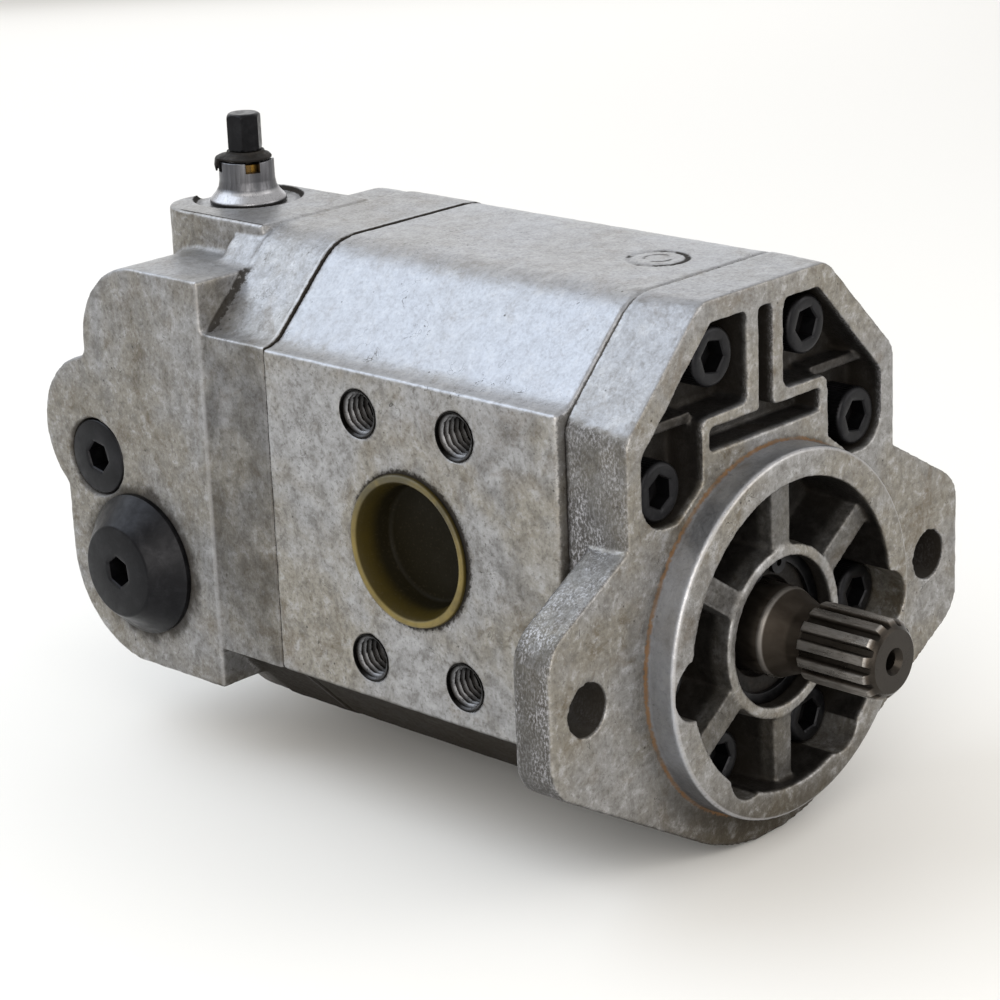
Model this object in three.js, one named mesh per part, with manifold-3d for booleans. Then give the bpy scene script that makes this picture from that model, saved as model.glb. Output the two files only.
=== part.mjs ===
// Hydraulic gear pump: three bolted aluminium sections, a splined drive shaft, two gears in
// bearing blocks, and a valve block with an adjustable relief valve and a flow spool.
// Millimetres. The origin is the centre of the flange's mounting face, on the drive shaft's axis.
// The shaft points along -Y, the inlet port along -X, and +Z is up.

import * as THREE from 'three';
import { mergeVertices } from 'three/addons/utils/BufferGeometryUtils.js';
import Module from 'manifold-3d';

const wasm = await Module();
wasm.setup();

// ---------------------------------------------------------------- driving dimensions

const GAP = 0.3; // between pieces that touch
const THROUGH = 1; // how far a cutter runs past the face it opens
const MERGE_TOLERANCE = 1e-3;
const ARC_TOLERANCE = 0.2; // how far a chord may run inside a round edge

// gears
const centreDistance = 46;
const midZ = centreDistance / 2; // the sections' outline is symmetric about this height
const gearTeeth = 12;
const gearTipRadius = 26.8;
const gearRootRadius = 18.5;
const gearPressureAngle = THREE.MathUtils.degToRad(28);
const gearBacklash = 0.3;
const gearBoreRadius = 27.2;
const blockLength = 22;
const journalRadius = 12.5;
const bushRadius = 15.5;

// the three sections, front to back along +Y
const coverBack = 19.4;
const housingFront = coverBack + GAP;
const housingBack = 127.7;
const rearFront = housingBack + GAP;
const plateBack = 154;
const coreBack = 167;
const portY = (housingFront + housingBack) / 2;

// outline of the sections, heights measured from midZ
const padX = 60; // port faces
const padHalfHeight = 47;
const topHalfHeight = 72;
const topHalfWidth = 30;
const topCornerRadius = 17;
const slopeReach = topHalfWidth + topHalfHeight; // |x| + |height| along the 45 degree slope
const topZ = midZ + topHalfHeight;

// mounting flange: two bolts, 101.6 pilot, 146 between bolts
const flange = {
  holeX: 73, holeRadius: 7.15, halfWidth: 87, endRadius: 12, thickness: 12.5, discRadius: 60,
};
const flangeEdgeAngle = Math.PI / 3; // where the ears' straight edges leave the disc
const pilot = { radius: 50.8, height: 9.2, cavityRadius: 42.8, chamfer: 0.8 };
const cavityFloor = 12;
const coverHalfWidth = 56;
const coverSlopeReach = 100;
const hub = { radius: 23.9, boreRadius: 20.8, front: -5.4, boreFloor: 11 };
const rib = { angles: [34, 90, 146, 214, 270, 326], width: 8, front: -4.6 };
const recess = { halfWidth: 23.1, bottom: 54.9, armTop: 60.9, stemHalfWidth: 2.9, top: 88.6, depth: 9 };

// drive shaft: 13-tooth 16/32 spline
const spline = { teeth: 13, tipRadius: 10.9, rootRadius: 9.3, tipHalfAngle: 4.8, rootHalfAngle: 11.2 };
const shaftTip = -40.8;
const shaftShoulder = -6.6;
const shaftNeck = { radius: 9.5, front: -17, back: -12.4 };
const centreHole = { mouthRadius: 3.9, radius: 2.6, mouth: 1.2, depth: 12, end: 13.5 };

// through bolts, M10: lower pairs open into the pilot cavity, upper pairs into the windows
const bolt = { radius: 5, holeRadius: 5.3, headRadius: 8, headHeight: 10, socketFlats: 8, end: 145 };
const boltPlaces = {
  lower_left: { x: -19.5, z: -32 },
  lower_right: { x: 19.5, z: -32 },
  outer_lower_left: { x: -41.3, z: -2.5 },
  outer_lower_right: { x: 41.3, z: -2.5 },
  outer_upper_left: { x: -41.3, z: 48.5 },
  outer_upper_right: { x: 41.3, z: 48.5 },
  upper_left: { x: -19.5, z: 79 },
  upper_right: { x: 19.5, z: 79 },
};
const notchRadius = 8.3;
const windowWeb = { from: 25, to: 50, front: 5, bottom: 62.4, top: 65.4 };

const dowel = { radius: 3, holeRadius: 3.3, x: 47, halfLength: 6 };
const jointSeal = { inner: 28.6, outer: 30.9, grooveInner: 28.3, grooveOuter: 31.2, depth: 2.2 };
const seal = { outerRadius: 20.5, innerRadius: 12.8, front: 2, back: 10.5 };
const circlip = {
  outerRadius: 21.7, innerRadius: 18.2, grooveRadius: 22, front: 0.2, back: 1.4,
  earAngles: [74, 106], earRadius: 3, earHoleRadius: 1, gapHalfWidth: 3.4,
};

// ports: four-bolt split-flange patterns, bore and plastic shipping plug
const inlet = {
  side: -1, boreRadius: 19, boltZ: 34.92, boltY: 17.86, threadRadius: 5.9, threadDepth: 14,
  capRadius: 21.4, capDepth: 11,
};
const outlet = {
  side: 1, boreRadius: 12.7, boltZ: 26.19, boltY: 13.09, threadRadius: 4.2, threadDepth: 12,
  capRadius: 16, capDepth: 12,
};
const capRim = 2;
const capWall = 1.4;

// valve block: its outline is in Y and Z, and it runs along X from the inlet side's face
const valveBlock = { front: 153.6, bottom: -36.3, top: 85, right: 30 };
const spoolAxis = { y: 185.8, z: -4.4 };
const spoolLobe = { y: 187, z: -5, radius: 31.3 };
const galleryAxis = { y: 203.7, z: 24.9 };
const galleryLobe = { y: 203, z: 32, radius: 23.5 };
const reliefAxis = { x: -7, y: 188.6 };
const boss = { left: -32, right: 10.75, front: 155.8, back: 203.5, bottom: 62, cornerRadius: 13 };
const spotFace = { radius: 16, depth: 1.2 };

const largePlug = {
  headRadius: 21.2, faceRadius: 13.8, headLength: 9.7, stemRadius: 14, stemLength: 19,
  groove: { depth: 1.6, width: 2.6 },
};
const smallPlug = {
  radius: 11.4, sink: 0.6, headLength: 5, stemRadius: 9, stemLength: 16, boreDepth: 24,
  groove: { depth: 1.4, width: 2.4 },
};
const plugSocketFlats = 8;
const plugSocketDepth = 6;
const spool = { radius: 8.7, boreRadius: 9, left: -8, right: 23.7, neckRadius: 5, land: 8, boreEnd: 24 };
const spoolSpring = { coilRadius: 6.2, wireRadius: 0.9, turns: 5 };

const collar = { flareRadius: 11.3, radius: 8.2, flareTop: 98.8, top: 106.6, stemRadius: 9, stemBottom: 80 };
const collarBore = 5.9;
const collarSlot = { count: 4, width: 4.4, depth: 3, firstAngle: 61 };
const brassBush = { outerRadius: 5.6, innerRadius: 4, bottom: 84, top: 105.8 };
const screw = { radius: 3.7, bottom: 72, hexFlats: 9.2, hexBottom: 109.6, hexTurn: 37.6, top: 120.4 };
const boot = { innerRadius: 4, radius: 7.8, bottom: 106.9, top: 109.3 };
const springSeat = { radius: 7.4, bottom: 68.4 };
const reliefBore = { radius: 9.3, chamberRadius: 8, chamberTop: 79, bottom: 28, passageRadius: 3 };
const poppetSeat = { outerRadius: 7.7, boreRadius: 3, top: 33 };
const poppet = { radius: 5, coneTop: 38, top: 46 };
const reliefSpring = { coilRadius: 5.8, wireRadius: 0.9, turns: 4 };

// ---------------------------------------------------------------- solids

// Closed triangle mesh of a geometry, with shared corners merged and empty triangles dropped.
function solid(geometry) {
  geometry.deleteAttribute('normal');
  geometry.deleteAttribute('uv');
  const merged = mergeVertices(geometry, MERGE_TOLERANCE);
  const index = merged.index.array;
  const triangles = [];
  for (let i = 0; i < index.length; i += 3) {
    const [a, b, c] = index.slice(i, i + 3);
    if (a !== b && b !== c && c !== a) triangles.push(a, b, c);
  }
  return new wasm.Manifold(new wasm.Mesh({
    numProp: 3,
    vertProperties: merged.attributes.position.array,
    triVerts: new Uint32Array(triangles),
  }));
}

const union = (first, ...rest) => rest.reduce((sum, piece) => sum.add(piece), first);
const cut = (first, ...rest) => rest.reduce((left, piece) => left.subtract(piece), first);

// Prism of an outline. Along x the outline is in (y, z), along y in (x, z), along z in (x, y).
function prism(outline, axis, from, to) {
  const geometry = new THREE.ExtrudeGeometry(new THREE.Shape(outline), {
    depth: to - from, bevelEnabled: false, curveSegments: 1,
  });
  if (axis === 'x') {
    const axes = [new THREE.Vector3(0, 1, 0), new THREE.Vector3(0, 0, 1), new THREE.Vector3(1, 0, 0)];
    geometry.applyMatrix4(new THREE.Matrix4().makeBasis(...axes)).translate(from, 0, 0);
  } else if (axis === 'y') {
    geometry.rotateX(Math.PI / 2).translate(0, to, 0);
  } else {
    geometry.translate(0, 0, from);
  }
  return solid(geometry);
}

const arcStep = (radius) => 2 * Math.acos(1 - ARC_TOLERANCE / radius);

// Turned piece from a profile of [radius, station] pairs; the stations lie along the axis.
function turned(profile, axis, centre = [0, 0, 0]) {
  const points = profile.map(([radius, station]) => new THREE.Vector2(radius, station));
  const segments = Math.ceil((2 * Math.PI) / arcStep(Math.max(...points.map((point) => point.x))));
  if (THREE.ShapeUtils.area(points) < 0) points.reverse();
  if (points[0].x > 0) points.push(points[0].clone());
  const geometry = new THREE.LatheGeometry(points, segments);
  if (axis === 'x') geometry.rotateZ(-Math.PI / 2);
  if (axis === 'z') geometry.rotateX(Math.PI / 2);
  geometry.translate(...centre);
  return solid(geometry);
}

function rod(radius, axis, from, to, centre) {
  return turned([[0, from], [radius, from], [radius, to], [0, to]], axis, centre);
}

function ring(inner, outer, axis, from, to, centre) {
  return turned([[inner, from], [outer, from], [outer, to], [inner, to]], axis, centre);
}

function box(x0, x1, y0, y1, z0, z1) {
  const geometry = new THREE.BoxGeometry(x1 - x0, y1 - y0, z1 - z0);
  geometry.translate((x0 + x1) / 2, (y0 + y1) / 2, (z0 + z1) / 2);
  return solid(geometry);
}

// ---------------------------------------------------------------- outlines

function arc(u, v, radius, startDegrees, endDegrees) {
  const start = THREE.MathUtils.degToRad(startDegrees);
  const sweep = THREE.MathUtils.degToRad(endDegrees) - start;
  const steps = Math.ceil(Math.abs(sweep) / arcStep(radius));
  return Array.from({ length: steps + 1 }, (_, i) => {
    const angle = start + (sweep * i) / steps;
    return new THREE.Vector2(u + radius * Math.cos(angle), v + radius * Math.sin(angle));
  });
}

// Outline through corners [u, v, radius]; a radius rounds its corner.
function rounded(corners) {
  const points = [];
  corners.forEach(([u, v, radius], i) => {
    const corner = new THREE.Vector2(u, v);
    if (!radius) {
      points.push(corner);
      return;
    }
    const before = corners.at(i - 1);
    const after = corners[(i + 1) % corners.length];
    const toBefore = new THREE.Vector2(before[0] - u, before[1] - v).normalize();
    const toAfter = new THREE.Vector2(after[0] - u, after[1] - v).normalize();
    const halfAngle = Math.acos(toBefore.dot(toAfter)) / 2;
    const reach = radius / Math.tan(halfAngle);
    const inward = toBefore.clone().add(toAfter).setLength(radius / Math.sin(halfAngle));
    const centre = corner.clone().add(inward);
    const start = corner.clone().addScaledVector(toBefore, reach).sub(centre);
    const turn = Math.PI - 2 * halfAngle;
    const sign = Math.sign(toAfter.cross(toBefore));
    const steps = Math.ceil(turn / arcStep(radius));
    for (let k = 0; k <= steps; k += 1) {
      points.push(start.clone().rotateAround(new THREE.Vector2(), (sign * turn * k) / steps).add(centre));
    }
  });
  return points;
}

// Outline made of its right half, listed top to bottom, and the mirror image.
function mirrored(rightHalf) {
  const leftHalf = rightHalf.map(([x, z, radius]) => [-x, z, radius]).reverse();
  return rounded([...leftHalf, ...rightHalf]);
}

// The sections' common outline: port faces at the sides, slopes to a narrow top and bottom.
function sectionOutline() {
  const slopeFootX = slopeReach - padHalfHeight;
  const top = [
    [topHalfWidth, midZ + topHalfHeight, topCornerRadius],
    [slopeFootX, midZ + padHalfHeight, 7],
    [padX, midZ + padHalfHeight, 0.8],
  ];
  const bottom = top.map(([x, z, radius]) => [x, 2 * midZ - z, radius]).reverse();
  return mirrored([...top, ...bottom]);
}

// The same without the port faces.
function coreOutline() {
  const halfWidth = 50;
  const shoulder = slopeReach - halfWidth;
  return mirrored([
    [topHalfWidth, midZ + topHalfHeight, topCornerRadius],
    [halfWidth, midZ + shoulder, 7],
    [halfWidth, midZ - shoulder, 7],
    [topHalfWidth, midZ - topHalfHeight, topCornerRadius],
  ]);
}

function coverOutline() {
  const shoulder = coverSlopeReach - coverHalfWidth;
  const cornerX = coverSlopeReach - topHalfHeight;
  return mirrored([
    [cornerX, topZ, 6],
    [coverHalfWidth, midZ + shoulder, 8],
    [coverHalfWidth, midZ - shoulder, 8],
    [cornerX, midZ - topHalfHeight, 6],
  ]);
}

// Two ears whose edges run 30 degrees down to a disc.
function flangeOutline() {
  const { halfWidth, endRadius, discRadius } = flange;
  const bottom = arc(0, 0, discRadius, -120, -60).map((point) => [point.x, point.y, 0]);
  const leaveX = discRadius * Math.cos(flangeEdgeAngle);
  const leaveZ = discRadius * Math.sin(flangeEdgeAngle);
  const endZ = leaveZ - (halfWidth - leaveX) / Math.tan(flangeEdgeAngle);
  return rounded([
    ...bottom,
    [halfWidth, -endZ, endRadius], [halfWidth, endZ, endRadius],
    [leaveX, leaveZ, 0], [-leaveX, leaveZ, 0],
    [-halfWidth, endZ, endRadius], [-halfWidth, -endZ, endRadius],
  ]);
}

function windowOutline(side) {
  const corners = [
    [7.7, 88.8, 2], [22.6, 88.8, 4], [50.3, 59.8, 5], [50.3, 39.4, 9], [36.5, 39.4, 3],
    [26.4, 47, 1.5], [26.2, 64.1, 2.5], [7.5, 64.6, 2.5],
  ];
  return rounded(corners.map(([x, z, radius]) => [side * x, z, radius]));
}

function recessOutline() {
  const { halfWidth, bottom, armTop, stemHalfWidth, top } = recess;
  return mirrored([
    [stemHalfWidth, top, 1], [stemHalfWidth, armTop, 2], [halfWidth, armTop, 1], [halfWidth, bottom, 1],
  ]);
}

// Two half circles round the gear axes, joined by straight sides.
function stadium(radius) {
  return [...arc(0, 0, radius, -180, 0), ...arc(0, centreDistance, radius, 0, 180)];
}

function splineOutline() {
  const pitch = 360 / spline.teeth;
  const corners = [
    [spline.rootRadius, -spline.rootHalfAngle], [spline.tipRadius, -spline.tipHalfAngle],
    [spline.tipRadius, spline.tipHalfAngle], [spline.rootRadius, spline.rootHalfAngle],
  ];
  return Array.from({ length: spline.teeth }, (_, tooth) => corners.map(([radius, degrees]) => {
    const angle = THREE.MathUtils.degToRad(tooth * pitch + degrees);
    return new THREE.Vector2(radius * Math.cos(angle), radius * Math.sin(angle));
  })).flat();
}

// Involute gear about (0, height), with one tooth centred at the given angle.
function gearOutline(height, firstTooth) {
  const pitchRadius = centreDistance / 2;
  const baseRadius = pitchRadius * Math.cos(gearPressureAngle);
  const involute = (angle) => Math.tan(angle) - angle;
  const pitchHalfAngle = Math.PI / (2 * gearTeeth) - gearBacklash / (2 * pitchRadius);
  const halfAngle = (radius) => {
    const angle = Math.acos(Math.min(1, baseRadius / radius));
    return pitchHalfAngle + involute(gearPressureAngle) - involute(angle);
  };
  const flankPoints = 5;
  const flank = Array.from({ length: flankPoints }, (_, i) => {
    const radius = THREE.MathUtils.lerp(baseRadius, gearTipRadius, i / (flankPoints - 1));
    return [radius, halfAngle(radius)];
  });
  flank.unshift([gearRootRadius, halfAngle(baseRadius) + 0.01]);
  const tooth = [
    ...flank.map(([radius, angle]) => [radius, -angle]),
    ...flank.map(([radius, angle]) => [radius, angle]).reverse(),
  ];
  return Array.from({ length: gearTeeth }, (_, i) => tooth.map(([radius, angle]) => {
    const turn = firstTooth + (2 * Math.PI * i) / gearTeeth + angle;
    return new THREE.Vector2(radius * Math.cos(turn), height + radius * Math.sin(turn));
  })).flat();
}

function hexagon(flats, u, v, firstDegrees = 30) {
  return Array.from({ length: 6 }, (_, i) => {
    const angle = (Math.PI / 3) * i + THREE.MathUtils.degToRad(firstDegrees);
    const reach = flats / 2 / Math.cos(Math.PI / 6);
    return new THREE.Vector2(u + reach * Math.cos(angle), v + reach * Math.sin(angle));
  });
}

// The valve block seen from the inlet side: a lobe round each bore that runs along X.
function valveBlockOutline() {
  const { front, bottom, top } = valveBlock;
  const shoulderRadius = 25;
  const shoulderY = 181;
  return [
    new THREE.Vector2(front, bottom),
    ...arc(spoolLobe.y, spoolLobe.z, spoolLobe.radius, -90, 3),
    ...arc(galleryLobe.y, galleryLobe.z, galleryLobe.radius, -49, 80),
    ...arc(shoulderY, top - shoulderRadius, shoulderRadius, -6, 90),
    new THREE.Vector2(front, top),
  ];
}

// ---------------------------------------------------------------- bolt and dowel holes

const boltHoles = (from, to) => Object.values(boltPlaces).map(({ x, z }) => (
  rod(bolt.holeRadius, 'y', from, to, [x, 0, z])));

const dowelHoles = (from, to) => [-1, 1].map((side) => (
  rod(dowel.holeRadius, 'y', from, to, [side * dowel.x, 0, midZ])));

function jointSealGroove(from, to) {
  const island = prism(stadium(jointSeal.grooveInner), 'y', from - THROUGH, to + THROUGH);
  return cut(prism(stadium(jointSeal.grooveOuter), 'y', from, to), island);
}

// ---------------------------------------------------------------- aluminium sections

function frontCover() {
  const { radius, height, cavityRadius, chamfer } = pilot;
  const open = -height - THROUGH;
  const body = union(
    prism(coverOutline(), 'y', 0, coverBack),
    prism(flangeOutline(), 'y', 0, flange.thickness),
    turned([[0, THROUGH], [radius, THROUGH], [radius, chamfer - height], [radius - chamfer, -height],
      [0, -height]], 'y'),
  );
  const ribs = rib.angles.map((degrees) => {
    const spoke = new THREE.BoxGeometry(cavityRadius, cavityFloor - rib.front, rib.width);
    spoke.translate(cavityRadius / 2 + hub.radius - THROUGH, (cavityFloor + rib.front) / 2, 0);
    return solid(spoke.rotateY(-THREE.MathUtils.degToRad(degrees)));
  });
  const cavity = cut(rod(cavityRadius, 'y', open, cavityFloor, [0, 0, 0]),
    rod(hub.radius, 'y', hub.front, cavityFloor + THROUGH, [0, 0, 0]), ...ribs);
  const lowerPlaces = Object.entries(boltPlaces).filter(([name]) => name.includes('lower'));
  const notches = lowerPlaces.map(([, { x, z }]) => rod(notchRadius, 'y', open, cavityFloor, [x, 0, z]));
  const windows = [-1, 1].map((side) => prism(windowOutline(side), 'y', -THROUGH, cavityFloor));
  const windowWebs = [-1, 1].map((side) => {
    const [x0, x1] = [side * windowWeb.from, side * windowWeb.to].sort((a, b) => a - b);
    return box(x0, x1, windowWeb.front, cavityFloor + THROUGH, windowWeb.bottom, windowWeb.top);
  });
  const flangeHoles = [-1, 1].map((side) => (
    rod(flange.holeRadius, 'y', -THROUGH, flange.thickness + THROUGH, [side * flange.holeX, 0, 0])));
  const opened = cut(body, cavity, ...notches, ...windows.map((gap, i) => cut(gap, windowWebs[i])),
    prism(recessOutline(), 'y', -THROUGH, recess.depth), ...flangeHoles);
  return cut(opened,
    rod(hub.boreRadius, 'y', open, hub.boreFloor, [0, 0, 0]),
    rod(circlip.grooveRadius, 'y', circlip.front - GAP, circlip.back + GAP, [0, 0, 0]),
    rod(journalRadius + 2 * GAP, 'y', 0, coverBack + THROUGH, [0, 0, 0]),
    jointSealGroove(coverBack - jointSeal.depth, coverBack + THROUGH),
    ...boltHoles(cavityFloor - THROUGH, coverBack + THROUGH),
    ...dowelHoles(coverBack - dowel.halfLength - GAP, coverBack + THROUGH));
}

function portCuts(port) {
  const face = port.side * (padX + THROUGH);
  const along = (radius, depth, y, z) => {
    const bottom = port.side * (padX - depth);
    return rod(radius, 'x', Math.min(face, bottom), Math.max(face, bottom), [0, y, z]);
  };
  const threads = [-1, 1].flatMap((up) => [-1, 1].map((back) => (
    along(port.threadRadius, port.threadDepth, portY + back * port.boltY, midZ + up * port.boltZ))));
  return [along(port.boreRadius, padX, portY, midZ), ...threads];
}

function gearHousing() {
  const ends = [housingFront - THROUGH, housingBack + THROUGH];
  return cut(prism(sectionOutline(), 'y', housingFront, housingBack),
    rod(gearBoreRadius, 'y', ...ends, [0, 0, 0]),
    rod(gearBoreRadius, 'y', ...ends, [0, 0, centreDistance]),
    ...portCuts(inlet), ...portCuts(outlet), ...boltHoles(...ends),
    ...dowelHoles(ends[0], housingFront + dowel.halfLength + GAP),
    ...dowelHoles(housingBack - dowel.halfLength - GAP, ends[1]));
}

function rearCover() {
  const body = union(
    prism(sectionOutline(), 'y', rearFront, plateBack),
    prism(coreOutline(), 'y', plateBack - THROUGH, coreBack),
    prism(valveBlockOutline(), 'x', -padX, valveBlock.right),
    prism(rounded([[boss.left, boss.front, 0.5], [boss.right, boss.front, 0.5],
      [boss.right, boss.back, boss.cornerRadius], [boss.left, boss.back, boss.cornerRadius]]),
    'z', boss.bottom, topZ),
  );
  const relief = [reliefAxis.x, reliefAxis.y, 0];
  const spoolLine = [0, spoolAxis.y, spoolAxis.z];
  const galleryLine = [0, galleryAxis.y, galleryAxis.z];
  const face = -padX - THROUGH;
  const smallSeat = smallPlug.sink + smallPlug.headLength + 2 * GAP;
  return cut(body,
    rod(spotFace.radius, 'z', topZ - spotFace.depth, topZ + THROUGH, relief),
    rod(reliefBore.radius, 'z', reliefBore.chamberTop, topZ, relief),
    rod(reliefBore.chamberRadius, 'z', reliefBore.bottom, reliefBore.chamberTop + THROUGH, relief),
    rod(reliefBore.passageRadius, 'z', spoolAxis.z, reliefBore.bottom + THROUGH, relief),
    rod(largePlug.stemRadius + GAP, 'x', face, GAP - padX + largePlug.stemLength, spoolLine),
    rod(spool.boreRadius, 'x', -padX, spool.boreEnd, spoolLine),
    rod(smallPlug.radius + GAP, 'x', face, smallSeat - padX, galleryLine),
    rod(smallPlug.stemRadius + GAP, 'x', face, smallPlug.boreDepth - padX, galleryLine),
    jointSealGroove(rearFront - THROUGH, rearFront + jointSeal.depth),
    ...boltHoles(rearFront - THROUGH, bolt.end + 2),
    ...dowelHoles(rearFront - THROUGH, rearFront + dowel.halfLength + GAP));
}

// ---------------------------------------------------------------- gears and bearings

const gearFront = housingFront + blockLength + 2 * GAP;
const gearBack = housingBack - blockLength - 2 * GAP;

function driveShaft() {
  const { tipRadius } = spline;
  const chamfer = 2.4;
  const outside = tipRadius + 0.1;
  const toothEnd = shaftNeck.front + THROUGH;
  const journals = turned([
    [0, shaftNeck.front], [shaftNeck.radius, shaftNeck.front], [shaftNeck.radius, shaftNeck.back],
    [journalRadius - 0.5, shaftShoulder], [journalRadius, shaftShoulder + 0.8],
    [journalRadius, housingBack - 2], [journalRadius - 1, housingBack - 1], [0, housingBack - 1],
  ], 'y');
  const teeth = prism(splineOutline(), 'y', shaftTip, toothEnd);
  const chamfered = turned([
    [0, shaftTip - THROUGH], [tipRadius - chamfer - THROUGH, shaftTip - THROUGH],
    [outside, shaftTip + chamfer], [outside, toothEnd + THROUGH], [0, toothEnd + THROUGH],
  ], 'y');
  const endHole = turned([
    [0, shaftTip - THROUGH], [centreHole.mouthRadius, shaftTip - THROUGH],
    [centreHole.radius, shaftTip + centreHole.mouth], [centreHole.radius, shaftTip + centreHole.depth],
    [0, shaftTip + centreHole.end],
  ], 'y');
  const gear = prism(gearOutline(0, Math.PI / 2), 'y', gearFront, gearBack);
  return cut(union(journals, teeth.intersect(chamfered), gear), endHole);
}

function drivenGear() {
  const [front, back] = [housingFront + GAP, housingBack - 1];
  const journals = turned([
    [0, front], [journalRadius - 1, front], [journalRadius, front + 1],
    [journalRadius, back - 1], [journalRadius - 1, back], [0, back],
  ], 'y', [0, 0, centreDistance]);
  const toothGap = -Math.PI / 2 + Math.PI / gearTeeth;
  return union(journals, prism(gearOutline(centreDistance, toothGap), 'y', gearFront, gearBack));
}

function bearingBlock(from) {
  const to = from + blockLength;
  const lobes = [0, centreDistance].map((z) => rod(gearBoreRadius - GAP, 'y', from, to, [0, 0, z]));
  const bores = [0, centreDistance].map((z) => (
    rod(bushRadius + GAP, 'y', from - THROUGH, to + THROUGH, [0, 0, z])));
  return cut(union(...lobes), ...bores);
}

const bearingBush = (from, z) => (
  ring(journalRadius + GAP, bushRadius, 'y', from + GAP, from + blockLength - GAP, [0, 0, z]));

// ---------------------------------------------------------------- seals, bolts, dowels

function jointSealRing(from) {
  const to = from + jointSeal.depth - 2 * GAP;
  return cut(prism(stadium(jointSeal.outer), 'y', from, to),
    prism(stadium(jointSeal.inner), 'y', from - THROUGH, to + THROUGH));
}

// Rubber-covered case with a lip that stands clear of the shaft.
function shaftSeal() {
  const { outerRadius, innerRadius, front, back } = seal;
  return turned([
    [innerRadius + 1.2, front], [outerRadius, front], [outerRadius, back], [innerRadius + 3, back],
    [innerRadius + 3, front + 4], [innerRadius, front + 5], [innerRadius, front + 3],
  ], 'y');
}

// Open ring with two pierced ears at the top.
function retainingRing() {
  const { outerRadius, innerRadius, front, back } = circlip;
  const { earRadius, earHoleRadius, gapHalfWidth } = circlip;
  const earReach = innerRadius - 0.5;
  const earCentres = circlip.earAngles.map((degrees) => {
    const angle = THREE.MathUtils.degToRad(degrees);
    return [earReach * Math.cos(angle), 0, earReach * Math.sin(angle)];
  });
  const band = cut(ring(innerRadius, outerRadius, 'y', front, back, [0, 0, 0]),
    box(-gapHalfWidth, gapHalfWidth, front - THROUGH, back + THROUGH, 0, outerRadius + THROUGH));
  const ears = earCentres.map((centre) => rod(earRadius, 'y', front, back, centre));
  const holes = earCentres.map((centre) => rod(earHoleRadius, 'y', front - THROUGH, back + THROUGH, centre));
  return cut(union(band, ...ears), ...holes);
}

function throughBolt({ x, z }) {
  const { radius, headRadius, headHeight, socketFlats, end } = bolt;
  const seat = cavityFloor - GAP;
  const front = seat - headHeight;
  const body = turned([
    [0, front], [headRadius - 0.8, front], [headRadius, front + 0.8], [headRadius, seat],
    [radius, seat], [radius, end], [0, end],
  ], 'y', [x, 0, z]);
  return cut(body, prism(hexagon(socketFlats, x, z), 'y', front - THROUGH, front + headHeight / 2));
}

const dowelPin = (joint, side) => (
  rod(dowel.radius, 'y', joint - dowel.halfLength, joint + dowel.halfLength, [side * dowel.x, 0, midZ]));

// Plastic plug: a cup in the port's bore with a rim on the port face.
function portPlug(port) {
  const at = (inset) => port.side * (padX - inset);
  const cupRadius = port.boreRadius - GAP;
  return turned([
    [0, at(port.capDepth)], [cupRadius, at(port.capDepth)], [cupRadius, at(-GAP)], [port.capRadius, at(-GAP)],
    [port.capRadius, at(-capRim)], [cupRadius - capWall + 0.6, at(-capRim)], [cupRadius - capWall, at(-1)],
    [cupRadius - capWall, at(port.capDepth - capWall)], [0, at(port.capDepth - capWall)],
  ], 'x', [0, portY, midZ]);
}

// ---------------------------------------------------------------- valve block pieces

const socketCut = (face, { y, z }) => (
  prism(hexagon(plugSocketFlats, y, z), 'x', face - THROUGH, face + plugSocketDepth));

function largeConePlug() {
  const { headRadius, faceRadius, headLength, stemRadius, stemLength } = largePlug;
  const seat = -padX - GAP;
  const face = seat - headLength;
  const neck = stemRadius - largePlug.groove.depth;
  const grooveEnd = seat + largePlug.groove.width;
  const body = turned([
    [0, face], [faceRadius, face], [headRadius, seat - 1.5], [headRadius, seat],
    [neck, seat], [neck, grooveEnd], [stemRadius, grooveEnd], [stemRadius, seat + stemLength],
    [0, seat + stemLength],
  ], 'x', [0, spoolAxis.y, spoolAxis.z]);
  return cut(body, socketCut(face, spoolAxis));
}

function smallHexPlug() {
  const { radius, sink, headLength, stemRadius, stemLength } = smallPlug;
  const face = -padX + sink;
  const seat = face + headLength;
  const neck = stemRadius - smallPlug.groove.depth;
  const grooveEnd = seat + smallPlug.groove.width;
  const body = turned([
    [0, face], [radius - 0.6, face], [radius, face + 0.6], [radius, seat],
    [neck, seat], [neck, grooveEnd], [stemRadius, grooveEnd], [stemRadius, seat + stemLength],
    [0, seat + stemLength],
  ], 'x', [0, galleryAxis.y, galleryAxis.z]);
  return cut(body, socketCut(face, galleryAxis));
}

const plugRing = ({ stemRadius, groove }, from, { y, z }) => (
  ring(stemRadius - groove.depth + GAP, stemRadius, 'x', from + GAP, from + groove.width - GAP, [0, y, z]));

function flowSpool() {
  const { radius, left, right, neckRadius, land } = spool;
  return turned([
    [0, left], [radius, left], [radius, left + land], [neckRadius, left + land + 1],
    [neckRadius, right - land - 1], [radius, right - land], [radius, right], [0, right],
  ], 'x', [0, spoolAxis.y, spoolAxis.z]);
}

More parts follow.
